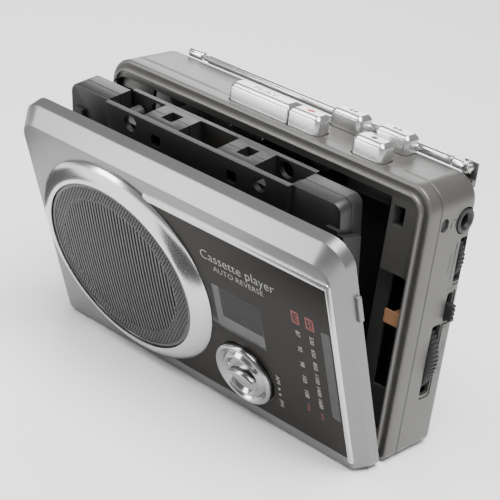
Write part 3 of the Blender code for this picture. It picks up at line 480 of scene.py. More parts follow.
# ---- the case ----------------------------------------------------------------
@dataclass
class Case:
    """Grey case with its bezel, seams, ports and the dark bay behind the door."""

    half_w: float = 58.4
    height: float = 78.6
    depth: float = 21.9
    top_corner: float = 7.0
    low_corner: float = 2.5
    wall: float = 1.4
    seam: float = 5.8
    groove: float = 0.22
    gap: float = 0.3
    keys: dict[str, Box] = field(default_factory=lambda: {
        "play_button": (-15.6, 6.2, 3.3, 9.0),
        "record_button": (6.6, 17.0, 3.3, 9.0),
        "rewind_button": (11.8, 22.4, 14.3, 20.2),
        "fast_forward_button": (27.0, 38.4, 14.3, 20.2),
        "stop_button": (28.4, 38.8, 3.3, 9.0),
    })

    def outline(self, inset: float) -> Outline:
        """Outline of the case from the front, moved in."""
        low = max(self.low_corner - inset, 0.3)
        top = max(self.top_corner - inset, 0.3)
        side = self.half_w - inset
        return rect(-side, side, inset, self.height - inset, (low, low, top, top), 14)

    def layers(self, *steps: tuple[float, float]) -> Solid:
        """Loft along Y through the case's outline.

        Args:
            steps: place along Y and inset, in order.

        Returns:
            The solid.
        """
        return loft("y", [(y, self.outline(inset)) for y, inset in steps])

    def wells(self) -> list[Solid]:
        """Cutters for the holes that the keys stand in."""
        play, record = self.keys["play_button"], self.keys["record_button"]
        shared = (play[0], record[1], play[2], play[3])
        single = [self.keys[name] for name in ("rewind_button", "fast_forward_button", "stop_button")]
        return [prism("z", shrink(*box, 1.6 - self.gap)(-self.gap), self.height - 4.0, self.height + 1.0)
                for box in (shared, *single)]

    def front(self) -> None:
        """Front ring with the stepped bezel round the bay."""
        edge = self.seam - self.gap / 2
        through = (-2.0, 2.6)
        shell = self.layers((0.85, 0.75), (0.95, 0.4), (1.2, 0.1), (1.5, 0.0),
                            (edge - self.groove, 0.0), (edge, self.groove))
        shell.join(self.layers((-0.7, 2.65), (-0.62, 2.4), (-0.35, 2.15), (0.0, 2.05), (1.8, 2.0)))
        shell.cut(
            prism("y", rect(-56.9, 46.2, 3.4, 73.4, (1.0, 1.0, 0.6, 4.5)), *through),
            self.layers((-2.0, 2.8), (-0.6, 2.9), (-0.3, 3.1), (0.1, 3.9), (0.4, 5.2)),
            prism("y", rect(*LATCH_HOLE, 0.15, 3), *through),
            prism("y", rect(44.0, 55.3, 8.0, 53.4, 0.8), *through),
            self.layers((2.2, self.wall), (self.seam + 1.0, self.wall)),
        )
        shell.join(prism("y", rect(-57.6, -43.0, 69.6, 77.8, (0.4, 0.4, 0.4, 5.9)), 2.8, 4.0))
        shell.cut(
            block(-56.9, -49.0, -1.0, 3.2, -1.0, 3.5),
            block(49.0, 56.9, -1.0, 3.2, -1.0, 3.5),
            block(-49.5, 49.5, -1.0, 2.6, 2.2, 4.0),
            *self.wells(),
        )
        dress("case_front_ring", shell, CASE_GREY, "case", replaces=("front_case",))

    def rear(self) -> None:
        """Rear shell with its engraved line, side ports and battery opening."""
        start = self.seam + self.gap / 2
        back = self.depth
        side = (self.half_w - self.wall - 1.0, self.half_w + 1.0)
        microphone, volume = (6.4, 9.6, 66.2, 70.0, 1.5), (17.3, 20.3, 49.6, 62.4, 0.6)
        switch, tuning = (16.2, 18.6, 38.2, 46.6, 0.6), (12.0, 15.8, 16.8, 37.8, 0.8)
        shell = self.layers((start, self.groove), (start + self.groove, 0.0), (back - 2.6, 0.0),
                            (back - 1.9, 0.12), (back - 1.1, 0.6), (back - 0.4, 1.4), (back, 2.3))
        shell.cut(
            self.layers((self.seam - 1.0, self.wall), (back - self.wall, self.wall)),
            prism("x", rect(*microphone), *side),
            prism("x", circle(*SOCKET, 3.8, 40), *side),
            *[prism("x", rect(*port), *side) for port in (volume, switch, tuning)],
            block(-55.6, 35.4, back - self.wall - 1.0, back + 1.0, 3.0, 15.5),
            *self.wells(),
            rod(*ANTENNA_AXIS, 1.8, -50.0, 57.0),
            *self.sunk_fields(),
        )
        for x, low, high in ((38.0, 60.5, 63.5), (-53.0, 24.0, 28.0)):
            shell.join(block(x, x + 4.0, 9.2, back - self.wall + 0.5, low, high))
        dress("case_rear_shell", shell, CASE_GREY, "case", replaces=("rear_case",))

    def sunk_fields(self) -> list[Solid]:
        """Shallow cutters: the engraved lines on top and the flat field on the right side."""
        sunk = 0.3
        lines = [block(x0, x1, 6.45, 6.75, self.height - 0.18, self.height + 1.0)
                 for x0, x1 in ((-52.0, -21.7), (43.9, 52.0))]
        fields = ((15.6, 19.2, 37.4, 47.4, 0.8), (11.4, 16.4, 15.8, 38.8, 1.0), (16.7, 20.4, 48.8, 63.2, 0.9))
        return lines + [prism("x", rect(*field_box), self.half_w - sunk, self.half_w + 0.5)
                        for field_box in fields]

    def bezel_band(self) -> None:
        """Dark step in front of the top face, which runs down both sides: painted shade where the bezel's front
        rim faces away from the light and meets the groove.
        """
        band = self.layers((0.8, 0.9), (0.9, 0.9)).cut(self.layers((0.5, 1.98), (2.0, 1.98)))
        dress("bezel_shadow_line", band, RIM_SHADE_GREY, "case")

    def prints(self) -> None:
        """Marks on the top face and the right side."""
        on_top = [lettering(text, height, wide=wide).moved(self.lay(x, y)) for text, height, wide, x, y in (
            ("STOP", 2.3, 1.15, 33.6, 11.3), ("REC", 1.5, 1.1, 11.8, 10.6), ("FF / REW", 1.5, 1.0, 24.8, 12.9))]
        dress("top_marks", gather(on_top), INK_DARK, "case", sharp=180)
        dress("side_marks", gather(self.side_prints()), INK_DARK, "case", sharp=180)

    def lay(self, x: float, y: float, rise: float = 0.0) -> Matrix:
        """Matrix that lays print on the top face, or on something that rises from it."""
        place = Matrix.Translation(Vector((x, y, self.height + rise)) * MM)
        return place @ Matrix.Rotation(math.radians(-90), 4, "X")

    def stand(self, y: float, z: float, turn: float) -> Matrix:
        """Matrix that stands print on the right side, turned about X."""
        face = Matrix.Translation(Vector((self.half_w, y, z)) * MM)
        return face @ Matrix.Rotation(math.radians(turn), 4, "X") @ Matrix.Rotation(math.radians(90), 4, "Z")

    def side_prints(self) -> list[Solid]:
        """Marks beside the ports: a headset sign, words for the wheels, arrows."""
        face = self.half_w
        inked, through = (face, face + MARK_RISE), (face - 1.0, face + 1.0)
        band = (12.0, 67.8)
        ring = prism("x", circle(*band, 1.25, 24), *inked)
        ring.cut(prism("x", circle(*band, 1.0, 24), *through),
                 prism("x", rect(10.0, 14.0, 66.0, 67.2), *through))
        pads = [rect(y, y + 0.6, 66.5, 67.7) for y in (10.6, 12.8)]
        wedge = [(15.2, 50.4), (15.5, 50.4), (15.9, 61.6), (15.2, 61.6)]
        arrows = [[(17.8, low), (18.6, low), (18.2, tip)] for low, tip in ((30.0, 32.0), (24.0, 22.0))]
        words = [lettering(text, height).moved(self.stand(*place)) for text, height, place in (
            ("VOLUME", 1.5, (13.8, 56.0, 90)), ("TUNING", 1.5, (17.6, 27.0, 90)),
            ("RADIO", 1.2, (16.8, 48.2, 0)), ("TAPE", 1.2, (16.8, 36.6, 0)))]
        return [ring, *[prism("x", shape, *inked) for shape in (*pads, wedge, *arrows)], *words]

    def bay(self) -> None:
        """Dark plate beside the cassette with its catch, and the dial's pointer."""
        through = (2.0, 6.0)
        plate = soft_prism("y", shrink(29.6, 56.8, 5.2, 76.8, (0.6, 0.6, 5.4, 0.6)), 3.2, 4.2, 0.05, 0.05)
        plate.cut(
            block(28.0, 44.2, *through, 4.0, 69.2), block(28.0, 39.4, *through, 74.4, 78.0),
            prism("y", rect(*LATCH_HOLE), *through), prism("y", rect(48.4, 55.2, 19.4, 53.0), *through),
        )
        plate.join(block(49.5, 51.6, 3.3, 4.1, 68.4, 69.8))
        dress("bay_side_plate", plate, BAY_PLASTIC, "case", replaces=("bay_frame",))
        pointer = block(48.8, 54.8, 2.3, 2.9, 38.3, 42.1)
        pointer.cut(*[block(x0, x1, 2.0, 3.5, 40.0, 40.3) for x0, x1 in ((48.0, 49.4), (54.2, 55.0))])
        pointer.join(block(50.6, 52.8, 2.8, 6.4, 38.9, 41.5))
        node = "tuning_pointer"
        dress("dial_pointer", pointer, COPPER_PLASTIC, node, replaces=(node,), edge=0.12)

    def build(self) -> None:
        """Builds every piece of the case."""
        self.front()
        self.rear()
        self.bezel_band()
        self.prints()
        self.bay()


# ---- buttons and wheels ------------------------------------------------------
class Mark(Enum):
    """What is printed on a key."""

    PLAY = "PLAY"
    DOT = "dot"
    REWIND = "rewind"
    FORWARD = "forward"
    STOP = "stop"


@dataclass
class Keys:
    """Five plated keys with printed marks."""

    case: Case
    rise: float = 5.2
    base_drop: float = 1.2
    chamfer: float = 1.1
    radius: float = 1.4
    tight: float = 0.3

    def shape(self, name: str) -> Solid:
        """Cap with a soft chamfer and a flat stem.

        Args:
            name: the key's node.

        Returns:
            The solid.
        """
        x0, x1, y0, y1 = self.case.keys[name]
        radii = [self.radius] * 4
        if name == "play_button":
            radii = [self.radius, self.tight, self.tight, self.radius]
        elif name == "record_button":
            radii = [self.tight, self.radius, self.radius, self.tight]
        top, base, c = self.case.height + self.rise, self.case.height - self.base_drop, self.chamfer

        def at(inset: float) -> Outline:
            corners = [max(radius - inset * 0.5, 0.25) for radius in radii]
            return rect(x0 + inset, x1 - inset, y0 + inset, y1 - inset, corners)

        steps = ((base, 0.15), (base + 0.15, 0.0), (top - c - 0.25, 0.0), (top - c, 0.08),
                 (top - c * 0.55, c * 0.38), (top - 0.14, c * 0.86), (top - 0.03, c * 1.02), (top, c * 1.2))
        cap = loft("z", [(z, at(inset)) for z, inset in steps])
        x, y = (x0 + x1) / 2, (y0 + y1) / 2 + 0.75
        return cap.join(block(x - 1.5, x + 1.5, y - 0.6, y + 0.6, self.case.height - 4.0, base + 0.5))

    def mark(self, kind: Mark, x: float, y: float) -> Solid:
        """Raised print on a key's top face.

        Args:
            kind: which mark. x: place to the right. y: place to the back.

        Returns:
            The print as a solid.
        """
        top = self.case.height + self.rise
        inked = (top, top + KEY_MARK_RISE)
        if kind is Mark.DOT:
            return prism("z", [(x + 1.35 * u, y + 0.75 * v) for u, v in circle(0.0, 0.0, 1.0, 24)], *inked)
        if kind is Mark.PLAY:
            word = lettering("PLAY", 2.4, wide=1.6, thick=KEY_MARK_RISE)
            return word.moved(self.case.lay(x, y, self.rise))
        if kind is Mark.STOP:
            return prism("z", rect(x - 0.8, x + 0.8, y - 0.8, y + 0.8, 0.1, 2), *inked)
        way = -1 if kind is Mark.REWIND else 1
        heads = [[(x + way * (s - 1.5), y - 0.9), (x + way * s, y), (x + way * (s - 1.5), y + 0.9)]
                 for s in (0.0, 1.6)]
        return gather([prism("z", head, *inked) for head in heads])

    def build(self) -> None:
        """Builds the five keys and their marks."""
        marks = {
            "play_button": (Mark.PLAY, INK_DARK), "record_button": (Mark.DOT, INK_BRIGHT_RED),
            "rewind_button": (Mark.REWIND, INK_DARK), "fast_forward_button": (Mark.FORWARD, INK_DARK),
            "stop_button": (Mark.STOP, INK_DARK),
        }
        for name, (kind, ink) in marks.items():
            x0, x1, y0, y1 = self.case.keys[name]
            dress(name + "_cap", self.shape(name), KEY_CHROME, name, replaces=(name,), sharp=40)
            dress(name + "_mark", self.mark(kind, (x0 + x1) / 2, (y0 + y1) / 2), ink, name, sharp=180)


@dataclass
class SideControls:
    """Volume and tuning wheels, switch and socket on the right side."""

    half_w: float = 58.4
    volume: tuple[float, float, float] = (50.4, 56.0, 8.6)
    tuning: tuple[float, float, float] = (45.7, 27.4, 14.3)

    def knurled(self, x: float, z: float, radius: float, y0: float, y1: float, teeth: int,
                depth: float) -> Solid:
        """Wheel with a ribbed rim, rounded towards its faces.

        Args:
            x: centre. z: centre. radius: over the ribs. y0: front face. y1: back face.
            teeth: number of ribs. depth: how deep the ribs are.

        Returns:
            The solid.
        """
        def rim(inset: float) -> Outline:
            points: Outline = []
            for i in range(teeth * 4):
                a = 2 * math.pi * i / (teeth * 4)
                reach = radius - inset - (0.0 if i % 4 in (0, 1) else depth)
                points.append((x + reach * math.cos(a), z + reach * math.sin(a)))
            return points

        return loft("y", [(y0, rim(0.5)), (y0 + 0.3, rim(0.0)), (y1 - 0.3, rim(0.0)), (y1, rim(0.5))])

    def build(self) -> None:
        """Builds the wheels, the switch and the socket."""
        face, boss_rise = self.half_w, 0.4
        for name, (x, z, radius), (y0, y1), boss_r, teeth, depth in (
            ("volume", self.volume, (17.7, 19.9), 4.3, 44, 0.3),
            ("tuning", self.tuning, (12.5, 15.3), 7.1, 72, 0.35),
        ):
            boss = disc(x, z, boss_r, y0 - boss_rise, y1 + boss_rise, 32)
            wheel = self.knurled(x, z, radius, y0, y1, teeth, depth).join(boss)
            dress(name + "_thumbwheel", wheel, BLACK_PLASTIC, name + "_wheel", replaces=(name + "_wheel",))
        switch = soft_prism("x", shrink(16.6, 18.2, 38.7, 43.6, 0.3, 3), face - 2.4, face + 1.9, 0.1, 0.3)
        switch.join(block(face - 4.0, face - 1.7, 15.6, 19.4, 37.6, 44.8))
        switch.cut(*[block(face + 1.5, face + 2.5, 16.0, 19.0, z, z + 0.6) for z in (39.8, 41.1, 42.4)])
        dress("switch_knob", switch, BLACK_PLASTIC, "function_switch", replaces=("function_switch",))
        steps = ((56.0, 3.5), (face + 0.25, 3.5), (face + 0.45, 3.3), (face + 0.5, 3.1))
        barrel = loft("x", [(x, circle(*SOCKET, radius, 48)) for x, radius in steps])
        socket = prism("x", rect(13.8, 20.0, 65.0, 70.8, 0.2, 2), 44.6, 56.2).join(barrel)
        bore = circle(*SOCKET, 1.8, 32)
        socket.cut(prism("x", bore, 47.0, face + 2.0),
                   loft("x", [(face - 0.4, bore), (face + 1.0, circle(*SOCKET, 3.0, 32))]))
        dress("socket_collar", socket, BLACK_PLASTIC, "case", replaces=("headphone_jack",))


# ---- antenna -----------------------------------------------------------------
@dataclass
class Antenna:
    """Folding rod along the rear top edge."""

    y: float = ANTENNA_AXIS[0]
    z: float = ANTENNA_AXIS[1]
    pivot: float = 53.0

    def build(self) -> None:
        """Builds the tubes, the tip and the knuckle."""
        right = self.pivot - 4.7
        outer = rod(self.y, self.z, 1.35, -40.0, right, 0.15)
        outer.cut(prism("x", circle(self.y, self.z, 1.05, 32), -41.0, right - 1.5))
        for x in (42.4, 45.9):
            ring = prism("x", circle(self.y, self.z, 1.6, 32), x, x + 0.3)
            outer.cut(ring.cut(prism("x", circle(self.y, self.z, 1.22, 32), x - 1, x + 1)))
        dress("antenna_thick_tube", outer, BRIGHT_STEEL, "antenna", replaces=("antenna_outer_tube",))
        inner = rod(self.y, self.z, 0.95, -42.0, 44.0, 0.1)
        inner.cut(prism("x", circle(self.y, self.z, 0.65, 32), -43.0, 42.0))
        dress("antenna_thin_tube", inner, BRIGHT_STEEL, "antenna_inner", replaces=("antenna_inner_tube",))
        tip = rod(self.y, self.z, 0.5, -44.0, 40.0, 0.1, 24).join(rod(self.y, self.z, 1.35, -48.0, -42.4, 0.45))
        dress("antenna_cap", tip, BRIGHT_STEEL, "antenna_end", replaces=("antenna_tip",))
        knuckle = rod(self.y, self.z, 1.4, self.pivot - 4.4, self.pivot + 1.3, 0.3)
        eye = round_shape(self.pivot, self.z, 1.55, 32)
        knuckle.join(soft_prism("y", eye, self.y - 1.2, self.y + 1.2, 0.15, 0.15))
        knuckle.cut(disc(self.pivot, self.z, 0.8, 10.0, 27.0, 24))
        dress("antenna_joint", knuckle, BRIGHT_STEEL, "antenna", replaces=("antenna_knuckle",))


# ---- the door ----------------------------------------------------------------
@dataclass
class Door:
    """Silver door with its bevels, speaker, dark panel, window, dial and knob."""

    half_w: float = 58.4
    height: float = 78.6
    back: float = -1.0
    front: float = -8.8
    wall: float = 1.5
    speaker: Point = (-22.4, 39.0)
    speaker_r: float = 32.8
    grille_r: float = 27.3
    rise: float = 3.0
    panel: Box = (-20.0, 54.8, 8.1, 67.8)
    window: Box = (2.0, 29.8, 32.5, 48.9)
    dial: Box = (50.9, 53.9, 21.0, 52.3)
    knob: Point = (19.8, 20.0)
    knob_r: float = 10.0
    sheet_r: float = 26.6
    dome: float = 1.2

    def outline(self, dx: float, z0: float, z1: float, radii: Sequence[float]) -> Outline:
        """Outline of the door from the front."""
        return rect(-self.half_w + dx, self.half_w - dx, z0, z1, radii, 14)

    def shell(self) -> None:
        """Door shell with its wide bevels and its hollow back."""
        full, front, top = (2.0, 2.0, 7.0, 7.0), (1.5, 1.5, 5.5, 5.5), self.height
        through = (-10.0, -6.0)
        left, right, low, high = self.window
        shell = loft("y", [
            (self.back, self.outline(0.25, 1.3, top - 0.25, full)),
            (self.back - 0.2, self.outline(0.0, 1.2, top, full)),
            (self.back - 3.7, self.outline(0.0, 2.7, top, full)),
            (self.back - 3.95, self.outline(0.12, 2.85, top - 0.14, full)),
            (self.front + 0.22, self.outline(2.05, 4.15, top - 4.1, front)),
            (self.front + 0.05, self.outline(2.2, 4.3, top - 4.3, front)),
            (self.front, self.outline(2.45, 4.55, top - 4.6, front)),
        ])
        w, inner = self.wall, (1.0, 1.0, 5.5, 5.5)
        shell.cut(
            loft("y", [
                (self.back + 1.0, self.outline(w, 1.5, top - w, inner)),
                (self.back - 3.9, self.outline(w, 3.6, top - w, inner)),
                (self.front + w, self.outline(w + 1.7, 5.1, top - 5.0, (1.0, 1.0, 4.5, 4.5))),
            ]),
            disc(*self.speaker, 27.0, self.front - 1.0, -6.0),
            prism("y", rect(left + 5.0, right - 1.0, low + 1.0, high - 1.0), *through),
            prism("y", shrink(*self.dial, 0.0)(0.6), *through),
            disc(*self.knob, 2.4, *through, 32),
            prism("y", shrink(*self.panel, 0.4)(-0.2), -10.0, -8.2),
        )
        for x0, x1 in ((-55.6, -51.0), (51.0, 55.6)):
            web = block(x0, x1, self.back - 1.0, 1.5, 1.6, 2.7)
            shell.join(web, prism("x", circle(1.5, 1.5, 1.25, 32), x0, x1))
            shell.cut(prism("x", circle(1.5, 1.5, 0.95, 32), x0 - 1.0, x1 + 1.0))
        for x0, x1 in ((-57.2, -55.2), (50.2, 52.2)):
            shell.join(block(x0, x1, -7.6, -3.9, 8.2, 11.8))
            shell.cut(prism("x", circle(-5.7, 10.0, 1.0, 24), x0 - 0.5, x1 + 0.5))
        lug = soft_prism("x", shrink(self.back - 1.9, self.back - 0.4, 54.5, 62.8, 0.3, 4),
                         self.half_w - 1.0, self.half_w + 1.0, 0.05, 0.4)
        shell.join(lug, block(48.1, 49.2, -7.6, 5.6, 67.0, 68.2), block(48.1, 49.2, 4.5, 5.6, 67.0, 69.3))
        dress("door_silver_shell", shell, DOOR_SILVER, "door", Side.DOOR, ("door_shell",), sharp=11)

    def turned(self, at: Point, steps: Iterable[tuple[float, float]], count: int) -> Solid:
        """Turned shape on the door's face.

        Args:
            at: centre. steps: height above the face and radius, in order. count: faces round it.

        Returns:
            The solid.
        """
        return loft("y", [(self.front - rise, circle(*at, radius, count)) for rise, radius in steps])

    def lip(self) -> None:
        """Thin bright lip along the top and right edges of the panel."""
        _, right, low, top = self.panel
        steps = ((-0.1, 1.5, 2.2, 1.2), (0.35, 1.4, 2.1, 1.1), (0.5, 1.1, 1.8, 0.9))
        lip = loft("y", [
            (self.front - rise, rect(-8.0, right + beside, low - 0.9, top + above, (0.1, 0.1, corner, 0.1)))
            for rise, beside, above, corner in steps
        ])
        lip.cut(prism("y", rect(-20.0, right + 0.1, 0.0, top + 0.1), -12.0, -6.0),
                disc(*self.speaker, self.speaker_r + 0.05, -14.0, -6.0, 96))
        dress("panel_bright_lip", lip, KEY_CHROME, "door", Side.DOOR)

    def ring(self) -> None:
        """Satin chrome ring that rises to the grille."""
        full, rim = self.speaker_r, self.grille_r + 0.9
        ring = self.turned(self.speaker, (
            (0.02, full), (0.3, full), (0.75, full - 0.3), (1.7, full - 1.75), (2.45, full - 3.3),
            (self.rise - 0.08, rim + 0.2), (self.rise, rim - 0.25)), 128)
        ring.cut(disc(*self.speaker, self.grille_r, -14.0, -8.0, 128))
        dress("speaker_chrome_ring", ring, RING_CHROME, "door", Side.DOOR, ("speaker_ring",))

    def grille_tree(self) -> bpy.types.NodeTree:
        """Geometry Nodes tree that lays a pattern on a disc.

        Returns:
            The tree, with named inputs for its sizes.
        """
        tree = bpy.data.node_groups.new("perforated_disc", "GeometryNodeTree")
        face = tree.interface
        for name, kind, value in (("Pitch", "NodeSocketFloat", 0.001), ("Radius", "NodeSocketFloat", 0.02),
                                  ("Inner Radius", "NodeSocketFloat", 0.0), ("Dome", "NodeSocketFloat", 0.001)):
            face.new_socket(name, in_out="INPUT", socket_type=kind).default_value = value
        face.new_socket("Tile", in_out="INPUT", socket_type="NodeSocketObject")
        face.new_socket("Finish", in_out="INPUT", socket_type="NodeSocketMaterial")
        face.new_socket("Geometry", in_out="OUTPUT", socket_type="NodeSocketGeometry")
        nodes, links = tree.nodes, tree.links
        given, out = nodes.new("NodeGroupInput"), nodes.new("NodeGroupOutput")

        def math_node(operation: str, a: object, b: object) -> bpy.types.NodeSocket:
            """Math node on sockets or numbers."""
            node = nodes.new("ShaderNodeMath")
            node.operation = operation
            for slot, value in zip(node.inputs, (a, b)):
                if isinstance(value, (int, float)):
                    slot.default_value = value
                else:
                    links.new(value, slot)
            return node.outputs[0]

        columns = 79
        row_height = 0.866
        pitch, radius = given.outputs["Pitch"], given.outputs["Radius"]
        index = nodes.new("GeometryNodeInputIndex").outputs[0]
        row = math_node("FLOOR", math_node("DIVIDE", index, columns), 0)
        column = math_node("SUBTRACT", index, math_node("MULTIPLY", row, columns))
        half = (columns - 1) / 2
        shift = math_node("MULTIPLY", math_node("MODULO", row, 2), 0.5)
        u = math_node("MULTIPLY", math_node("ADD", math_node("SUBTRACT", column, half), shift), pitch)
        v = math_node("MULTIPLY", math_node("MULTIPLY", math_node("SUBTRACT", row, half), pitch), row_height)
        reach = math_node("SQRT", math_node("ADD", math_node("MULTIPLY", u, u), math_node("MULTIPLY", v, v)), 0)
        share = math_node("DIVIDE", reach, radius)
        fall = math_node("SUBTRACT", 1, math_node("MULTIPLY", share, share))
        height = math_node("MULTIPLY", fall, given.outputs["Dome"])
        place = nodes.new("ShaderNodeCombineXYZ")
        links.new(u, place.inputs[0])
        links.new(v, place.inputs[1])
        links.new(height, place.inputs[2])
        points = nodes.new("GeometryNodePoints")
        points.inputs["Count"].default_value = columns * columns
        links.new(place.outputs[0], points.inputs["Position"])
        drop = nodes.new("GeometryNodeDeleteGeometry")
        drop.domain = "POINT"
        far = math_node("GREATER_THAN", reach, radius)
        near = math_node("LESS_THAN", reach, given.outputs["Inner Radius"])
        links.new(math_node("MAXIMUM", far, near), drop.inputs["Selection"])
        links.new(points.outputs[0], drop.inputs["Geometry"])
        tile = nodes.new("GeometryNodeObjectInfo")
        links.new(given.outputs["Tile"], tile.inputs["Object"])
        spread = nodes.new("GeometryNodeInstanceOnPoints")
        links.new(drop.outputs[0], spread.inputs["Points"])
        links.new(tile.outputs["Geometry"], spread.inputs["Instance"])
        real = nodes.new("GeometryNodeRealizeInstances")
        links.new(spread.outputs[0], real.inputs[0])
        finish = nodes.new("GeometryNodeSetMaterial")
        links.new(real.outputs[0], finish.inputs["Geometry"])
        links.new(given.outputs["Finish"], finish.inputs["Material"])
        links.new(finish.outputs[0], out.inputs[0])
        return tree

    def perforation(self, pitch: float, hole: float, deep: float) -> bpy.types.Object:
        """Six-sided tile of sheet with a round hole through it, as the pattern's repeat.

        Args:
            pitch: distance between holes. hole: hole radius. deep: sheet thickness.

        Returns:
            The tile, to be deleted after the pattern is made.
        """
        bm = bmesh.new()
        overlap = 1.002
        rings = []
        for level, radius in ((0.0, hole), (0.0, pitch / math.sqrt(3) * overlap),
                              (deep, pitch / math.sqrt(3) * overlap), (deep, hole)):
            angles = [math.radians(60 * i + 30) for i in range(6)]
            rings.append([bm.verts.new(Vector((radius * math.cos(a), radius * math.sin(a), level)) * MM)
                          for a in angles])
        for a, b in zip(rings, rings[1:] + rings[:1]):
            for i in range(6):
                j = (i + 1) % 6
                bm.faces.new((a[i], a[j], b[j], b[i]))
        bmesh.ops.recalc_face_normals(bm, faces=bm.faces)
        return in_scene("perforation", mesh_of("perforation", bm))

    def grille(self) -> None:
        """Perforated sheet rim, ribbed middle and its dark backing."""
        x, z = self.speaker
        pitch, hole, deep = 1.02, 0.34, 0.3
        tile = self.perforation(pitch, hole, deep)
        holder = in_scene("grille_pattern", bpy.data.meshes.new("grille_pattern"))
        made = holder.modifiers.new("pattern", "NODES")
        made.node_group = self.grille_tree()
        values = {"Pitch": pitch * MM, "Radius": self.sheet_r * MM, "Inner Radius": 21.6 * MM,
                  "Dome": self.dome * MM, "Tile": tile, "Finish": GRILLE_BLACK.material()}
        for item in made.node_group.interface.items_tree:
            if item.in_out == "INPUT":
                made[item.identifier] = values[item.name]
        holder.update_tag()
        mesh = applied(holder)
        bpy.data.objects.remove(holder)
        bpy.data.objects.remove(tile)
        place = Matrix.Translation(Vector((x, self.front - 2.1, z)) * MM)
        sheet = Solid(mesh).moved(place @ Matrix.Rotation(math.radians(90), 4, "X"))
        rim = self.turned(self.speaker, ((0.6, 27.1), (2.35, 27.1), (2.55, 26.9), (2.6, 26.5)), 96)
        rim.cut(disc(x, z, 26.0, -14.0, -7.0, 96))
        backing = self.turned(self.speaker, ((1.1, 26.4), (1.3, 26.4), (2.1, 14.0)), 64)
        dress("grille_perforated_sheet", sheet, GRILLE_BLACK, "door", Side.DOOR, ("speaker_grille",))
        dress("grille_rim", rim, GRILLE_BLACK, "door", Side.DOOR)
        dress("grille_dark_cloth", backing, CONE_PAPER, "door", Side.DOOR)
        dress("grille_ribs", self.ribs(x, z), GRILLE_BLACK, "door", Side.DOOR)

    def ribs(self, x: float, z: float) -> Solid:
        """Upright ribs across the middle of the grille, following its dome."""
        made = []
        pitch, reach, shortest, steps, half_thick = 1.2, 22.6, 2.0, 10, 0.31
        count = int(reach / pitch)
        for u in (i * pitch for i in range(-count, count + 1)):
            half = math.sqrt(reach ** 2 - u ** 2)
            if half < shortest:
                continue
            profile = []
            for s in range(steps + 1):
                v = -half + 2 * half * s / steps
                dome = self.dome * (1 - (u * u + v * v) / self.sheet_r ** 2)
                profile.append((self.front - 2.3 - dome, z + v))
            back = [(self.front - 2.2, z + half), (self.front - 2.2, z - half)]
            made.append(prism("x", profile + back, x + u - half_thick, x + u + half_thick))
        return gather(made)

    def panel_pieces(self) -> None:
        """Glossy dark panel with its windows."""
        ring, back, through = self.speaker_r + 0.12, -8.25, (-12.0, -6.0)
        panel = soft_prism("y", shrink(*self.panel, 0.5), self.front - 0.15, back, 0.05, 0.01)
        panel.cut(
            disc(*self.speaker, ring, *through, 128), prism("y", rect(*self.window, 0.3), *through),
            prism("y", rect(*self.dial, 1.0), *through), disc(*self.knob, self.knob_r + 0.3, *through, 96),
        )
        lens = prism("y", shrink(*self.window, 0.33)(0.03), self.front - 0.12, back)
        lens.cut(disc(*self.speaker, ring, *through, 128))
        strip = prism("y", shrink(*self.dial, 1.0)(0.05), self.front - 0.1, back)
        dress("panel_dark_gloss", panel, PANEL_GLOSS, "door", Side.DOOR, ("radio_panel",))
        dress("tape_window_lens", lens, WINDOW_CLEAR, "door", Side.DOOR, ("cassette_window",))
        dress("dial_strip_lens", strip, DIAL_CLEAR, "door", Side.DOOR, ("dial_window",))

    def window_ledge(self) -> None:
        """Pale ledge and post of the holder's cover, seen through the tape window."""
        left, right, low, top = self.window
        x0, x1, z0, z1, y = left + 9.6, left + 11.8, low + 0.2, low + 4.4, -8.2
        ledge = prism("y", [(x0, z0), (right - 0.4, z0), (right - 0.4, z1), (x1, z1)], y, y + 0.25)
        post = block(x0, x1, y + 0.05, y + 0.3, z0, top - 0.4)
        dress("tape_window_ledge", gather([ledge, post]), LEDGE_GREY, "door", Side.DOOR)

    def prints(self) -> None:
        """Pale and red print on the panel: title, bands and dial numbers."""
        y = self.front - 0.16
        inked, down = (y - PRINT_RISE, y), -90.0
        title_x, band_x, fm_x, am_x, first = 23.4, 32.3, 42.7, 47.4, 47.0
        pale = [
            lettering("Cassette player", 4.4, title_x, 58.4, y, wide=0.95, thin=0.05),
            lettering("AUTO REVERSE", 2.6, title_x, 54.9, y, thin=0.04),
            *[lettering(word, 2.0, band_x, z, y, down, 1.1) for word, z in (("AM", 24.4), ("FM", 15.6))],
            *[prism("y", circle(band_x, z, 0.42, 16), *inked) for z in (21.0, 18.9)],
        ]
        for x, height, gap, numbers in ((fm_x, 2.0, 5.4, ("87", "92", "98", "103", "108")),
                                        (am_x, 1.9, 4.5, ("530", "650", "850", "1100", "1400", "1600"))):
            pale += [lettering(number, height, x, first - i * gap, y, down) for i, number in enumerate(numbers)]
        red = []
        for x0, x1, z0, z1, word in ((41.4, 43.9, 50.4, 54.6, "FM"), (46.1, 48.9, 50.6, 54.6, "AM")):
            box = prism("y", rect(x0, x1, z0, z1, 0.25, 3), *inked)
            box.cut(prism("y", rect(x0 + 0.45, x1 - 0.45, z0 + 0.55, z1 - 0.55, 0.1, 2), y - 1.0, y + 1.0))
            red += [box, lettering(word, 2.1, (x0 + x1) / 2, (z0 + z1) / 2, y, down, 0.85)]
        for unit, x, z in (("MHz", fm_x, 20.3), ("kHz", am_x, 19.4)):
            red.append(lettering(unit, 1.5, x, z, y, down))
        dress("panel_pale_print", gather(pale), INK_PALE, "door", Side.DOOR, sharp=180)
        dress("panel_red_print", gather(red), INK_RED, "door", Side.DOOR, sharp=180)

